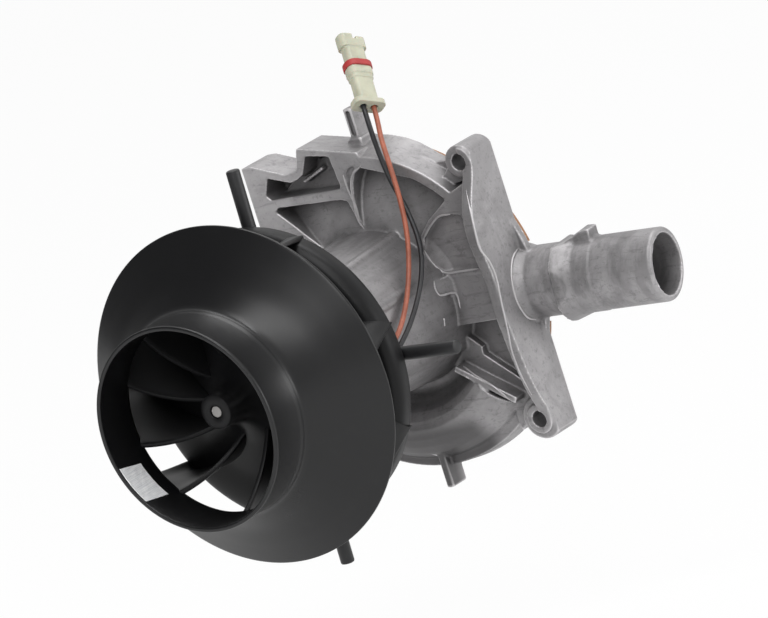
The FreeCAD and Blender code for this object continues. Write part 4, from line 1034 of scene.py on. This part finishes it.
class BLOWER_OT_stage(bpy.types.Operator):
    """Sets the photograph's camera, an even pale room, soft lamps and the floor"""

    bl_idname = "blower.stage"
    bl_label = "Stage"

    def execute(self, context):
        sizes = context.scene.blower_stage
        scene = context.scene
        scene.view_settings.view_transform = "Standard"
        self.camera(scene, sizes)
        self.room(scene, sizes)
        self.floor(scene, sizes)
        self.lamps(scene)
        return {"FINISHED"}

    def camera(self, scene, sizes):
        back = Vector(CAMERA_BACK).normalized()
        right = Vector(CAMERA_RIGHT)
        right = (right - back * right.dot(back)).normalized()
        up = back.cross(right)
        aside, above, away = CAMERA_OFFSET
        place = right * aside + up * above + back * away + Vector(CAMERA_CENTRE)
        data = bpy.data.cameras.new("photo camera")
        data.lens = sizes.lens
        data.sensor_width = 36.0
        data.clip_start = 0.1
        data.clip_end = 50.0
        camera = bpy.data.objects.new("photo camera", data)
        turn = Matrix((right, up, back)).transposed().to_4x4()
        camera.matrix_world = Matrix.Translation(place) @ turn
        scene.collection.objects.link(camera)
        scene.camera = camera

    def room(self, scene, sizes):
        """White to the camera; as light and in reflections bright at the rear, dark at the left."""
        world = bpy.data.worlds.new("pale room")
        world.use_nodes = True
        tree = world.node_tree
        tree.nodes.clear()
        paths = tree.nodes.new("ShaderNodeLightPath")
        direction = tree.nodes.new("ShaderNodeTexCoord")
        level = None
        for toward, near, far, low, high in ROOM_GLOWS:
            along = tree.nodes.new("ShaderNodeVectorMath")
            along.operation = "DOT_PRODUCT"
            along.inputs[1].default_value = Vector(toward).normalized()
            tree.links.new(direction.outputs["Generated"], along.inputs[0])
            step = tree.nodes.new("ShaderNodeMapRange")
            step.interpolation_type = "SMOOTHSTEP"
            ends = {"From Min": near, "From Max": far, "To Min": low, "To Max": high}
            for key, value in ends.items():
                step.inputs[key].default_value = value
            tree.links.new(along.outputs["Value"], step.inputs["Value"])
            if level is None:
                level = step
            else:
                both = tree.nodes.new("ShaderNodeMath")
                tree.links.new(level.outputs[0], both.inputs[0])
                tree.links.new(step.outputs[0], both.inputs[1])
                level = both
        light = tree.nodes.new("ShaderNodeBackground")
        light.inputs["Color"].default_value = (1.0, 1.0, 1.0, 1.0)
        dimmed = tree.nodes.new("ShaderNodeMath")
        dimmed.operation = "MULTIPLY"
        dimmed.inputs[1].default_value = sizes.daylight
        tree.links.new(level.outputs[0], dimmed.inputs[0])
        tree.links.new(dimmed.outputs[0], light.inputs["Strength"])
        white = tree.nodes.new("ShaderNodeBackground")
        white.inputs["Color"].default_value = (1.0, 1.0, 1.0, 1.0)
        white.inputs["Strength"].default_value = 1.0
        mix = tree.nodes.new("ShaderNodeMixShader")
        output = tree.nodes.new("ShaderNodeOutputWorld")
        tree.links.new(paths.outputs["Is Camera Ray"], mix.inputs[0])
        tree.links.new(light.outputs[0], mix.inputs[1])
        tree.links.new(white.outputs[0], mix.inputs[2])
        tree.links.new(mix.outputs[0], output.inputs[0])
        scene.world = world

    def floor(self, scene, sizes):
        low = CAD_BOX[0][2] - sizes.floor_drop
        mesh = bpy.data.meshes.new("pale floor")
        half = FLOOR_HALF
        corners = [(-half, -half, low), (half, -half, low), (half, half, low), (-half, half, low)]
        mesh.from_pydata(corners, [], [(0, 1, 2, 3)])
        mesh.materials.append(plain_stage("pale floor"))
        floor = bpy.data.objects.new("pale_floor", mesh)
        scene.collection.objects.link(floor)

    def lamps(self, scene):
        for name, place, width, height, power, mirrored in LAMPS:
            data = bpy.data.lights.new(name, "AREA")
            data.shape = "RECTANGLE"
            data.size = width
            data.size_y = height
            data.energy = power
            lamp = bpy.data.objects.new(name, data)
            lamp.location = place
            lamp.visible_glossy = mirrored
            aim = Vector(LAMP_TARGET) - Vector(place)
            lamp.rotation_euler = aim.to_track_quat("-Z", "Y").to_euler()
            scene.collection.objects.link(lamp)


class BLOWER_PT_pieces(bpy.types.Panel):
    """Lists the operators that build the blower fan"""

    bl_label = "DC blower fan"
    bl_idname = "BLOWER_PT_pieces"
    bl_space_type = "VIEW_3D"
    bl_region_type = "UI"
    bl_category = "Blower"

    def draw(self, context):
        for operator in OPERATORS:
            self.layout.operator(operator.bl_idname)
        for name, group in GROUPS.items():
            box = self.layout.box()
            box.label(text=group.__doc__)
            for key in group.__annotations__:
                box.prop(getattr(context.scene, name), key)


GROUPS = {
    "blower_fan": FanWheelSizes,
    "blower_casting": CastingSizes,
    "blower_cross": CrossSizes,
    "blower_leads": LeadSizes,
    "blower_stage": StageSizes,
}
OPERATORS = (
    BLOWER_OT_stage,
    BLOWER_OT_fan_wheel,
    BLOWER_OT_casting,
    BLOWER_OT_support_cross,
    BLOWER_OT_connector,
    BLOWER_OT_leads,
    BLOWER_OT_inside,
)


def register():
    for group in GROUPS.values():
        bpy.utils.register_class(group)
    for name, group in GROUPS.items():
        setattr(bpy.types.Scene, name, bpy.props.PointerProperty(type=group))
    for operator in OPERATORS:
        bpy.utils.register_class(operator)
    bpy.utils.register_class(BLOWER_PT_pieces)


def unregister():
    bpy.utils.unregister_class(BLOWER_PT_pieces)
    for operator in reversed(OPERATORS):
        bpy.utils.unregister_class(operator)
    for name in GROUPS:
        delattr(bpy.types.Scene, name)
    for group in reversed(tuple(GROUPS.values())):
        bpy.utils.unregister_class(group)


def main():
    register()
    bpy.ops.blower.stage()
    bpy.ops.blower.fan_wheel()
    bpy.ops.blower.casting()
    bpy.ops.blower.support_cross()
    bpy.ops.blower.connector()
    bpy.ops.blower.leads()
    bpy.ops.blower.inside()


if __name__ == "__main__":
    main()
